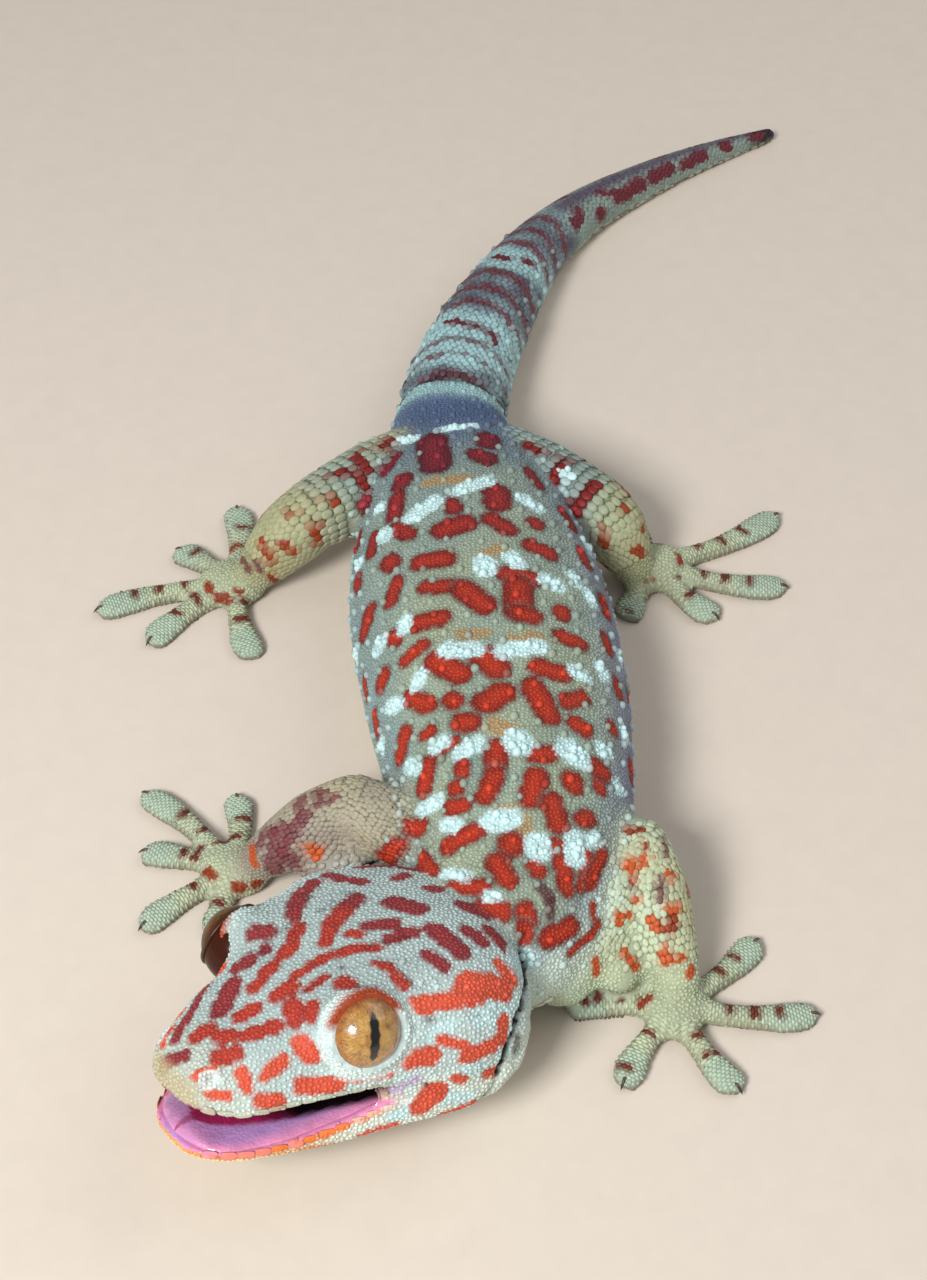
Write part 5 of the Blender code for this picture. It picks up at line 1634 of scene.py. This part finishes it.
limb_roots = {name: limb_rings(name) for name in LIMBS}
for name, roots in limb_roots.items():
    grow_laid(name + "_scales", roots, SHIELD, PLATE_FINISH)
toe_roots, sole_roots = new_roots(), new_roots()
for name in LIMBS:
    for number in range(5):
        toe_ribs(name, number, toe_roots)
        toe_soles(name, number, sole_roots)
grow_laid("toe_ribs", toe_roots, RIB, PLATE_FINISH, jitter=0.04)
grow_laid("toe_sole_plates", sole_roots, PLATE, PLATE_FINISH, jitter=0.02)

# %% [markdown]
# ## The tail's rings and the tubercles
# The tail's scales are small flat tiles in rings, with two rows of tubercles along each side near its
# root. The back's tubercles stand in fifteen rows; those inside a red mark take its colour, and those at
# its edge keep the colour of the ground. Each white spot of the back is a cluster of white tubercles,
# which is what makes it stand out from the grains around it.

# %% The tail's rings and the tubercles
TAIL_PITCH = (0.98, 0.68)       # from one ring of the tail to the next, at its root and at its tip
TAIL_END = 241
KNOB_ROWS = 15
KNOB_STEP = 12                  # degrees from one row of tubercles to the next
KNOB_PITCH = 3.5
SIDE_KNOBS = 11                 # in each of the four rows along the sides of the tail
tail_roots = new_roots()
along, row = TAIL_START, 0
while along < TAIL_END - 0.5:
    share = (along - TAIL_START) / (TAIL_END - TAIL_START)
    pitch = TAIL_PITCH[0] + (TAIL_PITCH[1] - TAIL_PITCH[0]) * share
    _, _, heading, half_width, top, under = back_frame(along)
    girth = math.pi * (half_width + (top - under) / 2)
    across = max(7, round(girth / (1.15 * pitch)))
    for k in range(across):
        degrees = 360 * (k + 0.5 * (row % 2)) / across - 180
        if abs(degrees) < BELLY_DEGREES + 3:
            lag = 2.0 * abs(math.sin(math.radians(degrees)))
            add_root(tail_roots, on_back(min(along + lag, TAIL_END - 0.2), degrees), heading,
                     (1.35 * pitch, 1.25 * pitch, 0.9 * pitch))
    along += pitch
    row += 1
grow_laid("tail_scales", tail_roots, SHIELD, PLATE_FINISH)

random.seed(5)
knob_roots = new_roots()
knob_members = node_ids("neck", "torso", "tail", "thigh", "upper_arm")


def add_knob(at, degrees, size, tint, share):
    """One tubercle at a distance along the back and degrees from its ridge."""
    add_root(knob_roots, on_back(at, degrees), back_frame(at)[2], size, tint, share, knob_members)


for row in range(KNOB_ROWS):
    middle = (row - KNOB_ROWS // 2) * KNOB_STEP
    along = 14 + KNOB_PITCH * 0.5 * (row % 2)
    while along < TAIL_START - 2:
        degrees = middle + sway(2.2)
        at = along + sway(0.5)
        broad_knob = random.uniform(1.15, 1.5) * (0.8 if along < 30 or along > 112 else 1.0)
        colour = paint[face_points[tree.find_nearest(on_back(at, degrees))[2]]].mean(0)
        red, green, _ = colour
        tint, share = INK["white"], 0.35 if abs(middle) > 50 and red < 1.3 * green else 0.0
        if red > 1.15 * green:
            tint, share = (colour * 1.3, 1.0) if red > 2.6 * green else (TONES["back"], 0.8)
        add_knob(at, degrees, (broad_knob * 1.1, broad_knob, broad_knob), tint, share)
        along += KNOB_PITCH
for s0, a0, s1, a1, width in BACK_WHITE:
    for k in range(3 + int(width * 2.2)):
        way = random.random()
        at = s0 + (s1 - s0) * way + sway(0.8) * width
        degrees = a0 + (a1 - a0) * way + sway(2.6) * width
        broad_knob = random.uniform(0.95, 1.45)
        add_knob(at, degrees, (broad_knob, broad_knob, broad_knob * 1.1), INK["white"], 0.9)
for side in (-1, 1):
    for step in range(SIDE_KNOBS):
        for degrees, broad_knob in ((78, 1.7), (50, 1.3)):
            at = 129.5 + 4.4 * step + sway(0.4)
            add_knob(at, side * degrees, (broad_knob * 1.2, broad_knob, broad_knob), INK["white"], 0.25)
grow_laid("tubercles", knob_roots, KNOB, GRAIN_FINISH, jitter=0.1)

# %% [markdown]
# ## Plates of the lips and scales of the eye rims
# Thirteen plates edge each side of the upper lip and as many the lower one, largest near the snout. Two
# rings of tiny scales surround each eye, pointing away from it, and larger knobs are strewn over the
# temples.

# %% Plates of the lips and scales of the eye rims
LIP_PLATES = 13
TEMPLE_KNOBS = 26               # on each side
# The rings round each eye: distance outside the rim, number of scales, their size
RIM_SCALES = ((0.7, 60, (0.6, 0.55, 0.5)), (1.25, 58, (0.62, 0.6, 0.5)))
lip_roots, rim_roots, temple_roots = new_roots(), new_roots(), new_roots()
back_of_head = head_turn @ Vector((1, 0, 0))
head_members = node_ids("head", "lower_jaw")
for side in (-1, 1):
    for k in range(LIP_PLATES):
        x = 0.9 + 25.0 * (k + 0.5) / LIP_PLATES
        long_plate = 2.15 if k < 8 else 1.8
        outward = side * (np.interp(x, lip_x, lip_w) + 0.3)
        rows = ((lip_height(x) + 0.75, 1.2 - 0.03 * k, 0.5),
                (lip_height(x) - gape_at(x) - 0.7, 1.25 - 0.03 * k, 0.0))
        for level, tall, shade in rows:
            near = head_matrix @ Vector((x, outward, level))
            heading = head_turn @ Vector((1, side * 0.35, 0))
            add_root(lip_roots, near, heading, (long_plate * 1.04, tall, 0.42),
                     tint=LIP_INK["upper"] * 0.7, share=shade)
    for k in range(TEMPLE_KNOBS):
        x, degrees = random.uniform(26, 45), random.uniform(30, 96)
        add_root(temple_roots, on_head(x, side * degrees), back_of_head, (0.95, 0.9, 0.6),
                 tint=INK["white"], share=0.04, members=head_members)
for centre, gaze, across, up in eye_frames:
    for outside, number, size in RIM_SCALES:
        radius = RIM_RADIUS + outside
        for k in range(number):
            turn = 2 * math.pi * (k + 0.37 * radius) / number
            away = across * math.cos(turn) + up * math.sin(turn)
            near = centre + away * radius + gaze * (2.6 - 0.5 * (radius - RIM_RADIUS))
            add_root(rim_roots, near, away, size, members=head_members)
grow_laid("lip_plates", lip_roots, PLATE, PLATE_FINISH, jitter=0.03)
grow_laid("temple_knobs", temple_roots, KNOB, GRAIN_FINISH, jitter=0.15)
grow_laid("eye_rim_scales", rim_roots, GRAIN, GRAIN_FINISH, jitter=0.08)

# %% [markdown]
# ## Eyes
# A tokay's eye is large, lidless and covered by a clear spectacle. The iris fills all that shows of it,
# golden brown with dark veins, and by daylight the pupil is an upright slit with a wavy edge. The eye on
# the far side is darkened and dulled as painted shade. The ball keeps its own coordinates as an
# attribute, so the pattern stays on it however the head is turned.

# %% Eyes
IRIS_STOPS = [(0.36, "6A4014"), (0.47, "A87832"), (0.56, "C79A52"), (0.66, "DDC08A")]
PUPIL_WIDTH = 0.1       # half-width of the slit at its middle, as a share of the eye's radius
PUPIL_HEIGHT = 0.56
PUPIL_LEAN = math.radians(-9)
WAVES = (24.0, 0.011)     # of the slit's edges: how close together and how deep
# For each eye: the height on the ball at which the gold begins, its gloss and its brightness
# The right eye's later gold, low gloss and low brightness are painted shade.
IRIS_LOOKS = ((0.45, 1.0, 1.0), (0.7, 0.15, 0.3))
SPECTACLE = 0.07          # how far the clear cover bulges, as a share of the eye's radius


def make_iris_finish(name, gold_from, gloss, shade):
    """An iris that is gold above a height on the ball, as a share of the radius, and dark brown below."""
    material, nodes, shader = new_finish(name, Specular_IOR_Level=0.5 * gloss, Coat_Weight=gloss,
                                         Coat_Roughness=0.03, IOR=1.4)
    place = painted(nodes, "eye_place", 1)
    x, y, z = add(nodes, "ShaderNodeSeparateXYZ", [place])
    turned = add(nodes, "ShaderNodeVectorRotate", [place, None, PUPIL_LEAN], rotation_type="Z_AXIS")[0]
    slit_x, slit_y, _ = add(nodes, "ShaderNodeSeparateXYZ", [turned])

    def reckon(operation, *values):
        return calc(nodes, operation, *values)

    radius = reckon("SQRT", reckon("ADD", reckon("MULTIPLY", x, x), reckon("MULTIPLY", y, y)))
    angle = reckon("ARCTAN2", y, x)
    rays = add(nodes, "ShaderNodeCombineXYZ",
               [reckon("MULTIPLY", angle, 2.2), reckon("MULTIPLY", radius, 1.3), 0.0])[0]
    veins = add(nodes, "ShaderNodeTexNoise", [rays, 9.0, 6.0, 0.7])[0]
    blots = add(nodes, "ShaderNodeTexNoise", [place, 4.5, 4.0, 0.65])[0]
    both = reckon("MULTIPLY_ADD", veins, 0.6, reckon("MULTIPLY", blots, 0.4))
    ramp = nodes.nodes.new("ShaderNodeValToRGB")
    stops = ramp.color_ramp.elements
    # shade dims the stops; for the far eye that is painted shade.
    for element, (spot, code) in zip([stops[0], stops[1], stops.new(0.5), stops.new(0.6)], IRIS_STOPS):
        element.position = spot
        element.color = (*(linear(code) * shade), 1)
    nodes.links.new(both, ramp.inputs[0])
    outer = stretch(nodes, radius, 0.5, 0.9, 0.0, 1.0)
    orange = blend(nodes, outer, ramp.outputs[0], solid("C48A58"), "MULTIPLY")
    wave = reckon("MULTIPLY", reckon("SINE", reckon("MULTIPLY", slit_y, WAVES[0])), WAVES[1])
    height = reckon("ABSOLUTE", reckon("DIVIDE", slit_y, PUPIL_HEIGHT))
    lens_shape = reckon("SUBTRACT", 1.0, reckon("POWER", height, 5.0))
    slit = reckon("ADD", reckon("MULTIPLY", lens_shape, PUPIL_WIDTH), wave)
    within = reckon("SUBTRACT", slit, reckon("ABSOLUTE", slit_x))
    dark_edge = blend(nodes, stretch(nodes, within, -0.05, 0.0, 0, 0.5), orange, solid("4A230C"))
    front = blend(nodes, stretch(nodes, within, -0.012, 0.012, 0, 1), dark_edge, solid("050303"))
    below = stretch(nodes, z, gold_from, gold_from - 0.25, 0.0, 1.0)
    colour = blend(nodes, below, front, solid("3A1A0C"))
    rough = stretch(nodes, both, 0.3, 0.7, 0.34, 0.22)
    join_shader(nodes, shader, colour, rough, both, 0.3, 0.0001)
    return material


def finish_piece(name, bm, material):
    """Turns a shape in millimetres into a smooth piece in metres, which rides on the body."""
    bmesh.ops.recalc_face_normals(bm, faces=bm.faces)
    mesh = new_mesh(name, bm)
    mesh.transform(Matrix.Scale(MM, 4))
    mesh.shade_smooth()
    mesh.materials.append(material)
    piece = new_object(name, mesh)
    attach(piece, "root")
    return piece


def make_eye(node, eye, finish):
    """The eyeball with its swollen clear cover; its own coordinates are kept for the iris."""
    centre, gaze, across, up = eye
    bm = bmesh.new()
    bmesh.ops.create_uvsphere(bm, u_segments=72, v_segments=48, radius=1.0)
    at = np.array([vert.co for vert in bm.verts])
    for vert in bm.verts:
        swell = 1 + SPECTACLE * max(vert.co.z, 0) ** 3
        vert.co = centre + (across * vert.co.x + up * vert.co.y + gaze * vert.co.z) * (EYE_RADIUS * swell)
    ball = finish_piece(node + "_ball", bm, finish)
    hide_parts(node)
    set_attribute(ball.data, "eye_place", at)


for node, eye, looks in zip(EYES, eye_frames, IRIS_LOOKS):
    make_eye(node, eye, make_iris_finish("iris of the " + node, *looks))
print("eyes:", [tuple(round(v, 1) for v in eye[0]) for eye in eye_frames])

# %% [markdown]
# ## Spectacle rims, tongue and claws
# A smooth narrow rim holds the clear spectacle, and the rim of the far eye is darkened as painted shade.
# The tongue and the soft floor of the mouth are one broad wet cushion between the jaws, pink at its edge,
# violet inside, and dark crimson to black as painted shade where it runs under the upper lip. Each toe but
# the first carries a small dark hooked claw above its pad.

# %% Spectacle rims, tongue and claws
RIM_THICKNESS = 0.3
RIM_STEPS, RIM_SIDES = 72, 8
RIM_SHADES = (1.0, 0.1)       # of the left eye's rim and of the right one's, which is in the dark
CLAW = {"length": 1.9, "radius": 0.3, "lift": 0.35, "drop": 0.8}
# The mouth's soft floor: how far back from the snout it starts and ends, and how far inside the lip it lies
CUSHION_FROM, CUSHION_TO, CUSHION_INSET = 1.0, 26.8, 0.75
CUSHION_RINGS, CUSHION_SIDES = 44, 72
# From where inwards it has painted shade: mm back from the snout, share of the half-width
CUSHION_DARK = [
    (3.4, 0.05), (4.4, 0.3), (6.5, 0.48), (9, 0.6), (13.5, 0.78), (16.5, 0.83), (21, 0.93), (27, 1.0),
]


def make_wet_finish():
    material, nodes, shader = new_finish("wet tongue", Specular_IOR_Level=0.5, Coat_Weight=0.8,
                                         Coat_Roughness=0.15)
    bumps = add(nodes, "ShaderNodeTexVoronoi", [own_place(nodes), 2200.0])[0]
    tint, rough, _ = place_group(nodes, MOTTLE, [painted(nodes, "paint", 0), 420.0, 0.16, 0.3])
    join_shader(nodes, shader, tint, rough, bumps, 0.5, 0.00012)
    return material


def make_claw_finish():
    material, nodes, shader = new_finish("claw horn", Specular_IOR_Level=0.5)
    colour = blend(nodes, painted(nodes, "rise", 2), solid("6B5547"), solid("1A1210"))
    tint, rough, grain = place_group(nodes, MOTTLE, [colour, 1800.0, 0.2, 0.35])
    join_shader(nodes, shader, tint, rough, grain, 0.3, 0.00005)
    return material


def sweep(bm, centres, radii, sides, frames, closed=False):
    """Rings round a row of centres, joined to a tube; a radius of zero makes a point."""
    loops = []
    turns = [2 * math.pi * k / sides for k in range(sides)]
    for centre, radius, (a, b) in zip(centres, radii, frames):
        if radius == 0:
            places = [centre]
        else:
            places = [centre + a * (radius * math.cos(t)) + b * (radius * math.sin(t)) for t in turns]
        loops.append([bm.verts.new(place) for place in places])
    for low, high in zip(loops, loops[1:] + loops[:1] if closed else loops[1:]):
        for k in range(sides):
            after = (k + 1) % sides
            around = ((low, k), (low, after), (high, after), (high, k))
            corners = [loop[place % len(loop)] for loop, place in around]
            corners = list(dict.fromkeys(corners))
            if len(corners) > 2:
                bm.faces.new(corners)
    return loops


RIM_FINISH = make_scale_finish("spectacle rim", 0.4, 1500.0, 0.12, 1.0)
for word, shade, (centre, gaze, across, up) in zip(("left", "right"), RIM_SHADES, eye_frames):
    bm = bmesh.new()
    centres, frames, tints = [], [], []
    for k in range(RIM_STEPS):
        turn = 2 * math.pi * k / RIM_STEPS
        away = across * math.cos(turn) + up * math.sin(turn)
        centres.append(centre + away * (RIM_RADIUS + 0.12) + gaze * 2.55)
        frames.append((away, gaze))
        upper = between(np.array([math.sin(turn)]), 0.1, 0.5)
        tints.append((*(mix(RIM_INK["gold"], RIM_INK["red"], upper)[0] * shade), 1))
    sweep(bm, centres, [RIM_THICKNESS] * RIM_STEPS, RIM_SIDES, frames, closed=True)
    rim = finish_piece("spectacle_rim_" + word, bm, RIM_FINISH)
    set_attribute(rim.data, "paint", np.repeat(tints, RIM_SIDES, axis=0))
    set_attribute(rim.data, "rise", np.ones(RIM_STEPS * RIM_SIDES))

bm = bmesh.new()
loops, tints = [], []
dark_x, dark_share = zip(*CUSHION_DARK)
for k in range(CUSHION_RINGS):
    x = CUSHION_FROM + (CUSHION_TO - CUSHION_FROM) * (k / (CUSHION_RINGS - 1)) ** 1.3
    rounding = math.sin(0.5 * math.pi * min(1.0, (k + 0.6) / 7)) ** 0.7
    half = max(0.2, (0.97 * np.interp(x, lip_x, lip_w) - CUSHION_INSET) * rounding)
    edge = lip_height(x) - gape_at(x) - 0.45
    swell = (0.3 + 0.16 * gape_at(x)) * rounding
    loop = []
    for i in range(CUSHION_SIDES):
        turn = 2 * math.pi * (i + 0.5) / CUSHION_SIDES
        rise = swell * math.sin(turn) if math.sin(turn) > 0 else 0.9 * rounding * math.sin(turn)
        loop.append(bm.verts.new(head_matrix @ Vector((x, half * math.cos(turn), edge + rise))))
        share = np.array([abs(math.cos(turn)) * min(1.0, rounding + 0.15)])
        pinker = between(share, 0.8, 0.97) + 0.7 * between(-x, -5, -1)
        flesh = mix(LINING["violet"], LINING["pink"], pinker)
        # Under the upper lip the cushion gets painted shade, crimson turning to near black further back.
        inner = mix(LINING["deep"], LINING["dark"], between(np.array([x]), 10, 14))
        limit = np.interp(x, dark_x, dark_share)
        tints.append((*mix(inner, flesh, between(share, limit - 0.035, limit + 0.035))[0], 1))
    loops.append(loop)
for low, high in zip(loops, loops[1:]):
    for i in range(CUSHION_SIDES):
        bm.faces.new((low[i], low[(i + 1) % CUSHION_SIDES], high[(i + 1) % CUSHION_SIDES], high[i]))
bm.faces.new(loops[0])
bm.faces.new(loops[-1])
tongue = finish_piece("tongue_flesh", bm, make_wet_finish())
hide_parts("tongue")
set_attribute(tongue.data, "paint", tints)
print("mouth's floor:", len(tongue.data.polygons), "faces")

CLAW_FINISH = make_claw_finish()
bm = bmesh.new()
rise = []
for name in LIMBS:
    for number in range(1, 5):
        path = toe_path(name, number)
        tip, heading, side, _ = path_frame(path, 0.999)
        root = Vector((tip.x, tip.y, 1.35)) - heading * 1.3
        shares = np.linspace(0, 1, 7)
        hook = [CLAW["lift"] * math.sin(math.pi * t) - CLAW["drop"] * t * t for t in shares]
        centres = [root + heading * (CLAW["length"] * t) + Vector((0, 0, z)) for t, z in zip(shares, hook)]
        radii = [CLAW["radius"] * math.sqrt(1 - t ** 1.5) for t in shares[:-1]] + [0]
        loops = sweep(bm, centres, radii, 10, [(side, Vector((0, 0, 1)))] * 7)
        bm.faces.new(loops[0])
        rise += [t for loop, t in zip(loops, shares) for _ in loop]
claws = finish_piece("claws", bm, CLAW_FINISH)
set_attribute(claws.data, "rise", rise)
print("claws:", len(LIMBS) * 4)

# %% [markdown]
# ## The floor's finish and the sizes
# The floor is plain and pale with a very faint grain. The last line measures the box of the finished
# model.

# %% The floor's finish and the sizes
material, nodes, shader = new_finish("pale floor", Roughness=0.8)
tint = place_group(nodes, MOTTLE, [solid("D9CDBE"), 260.0, 0.02, 0.8])[0]
nodes.links.new(tint, shader.inputs["Base Color"])
floor.data.materials.append(material)

bpy.context.view_layer.update()
low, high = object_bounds()
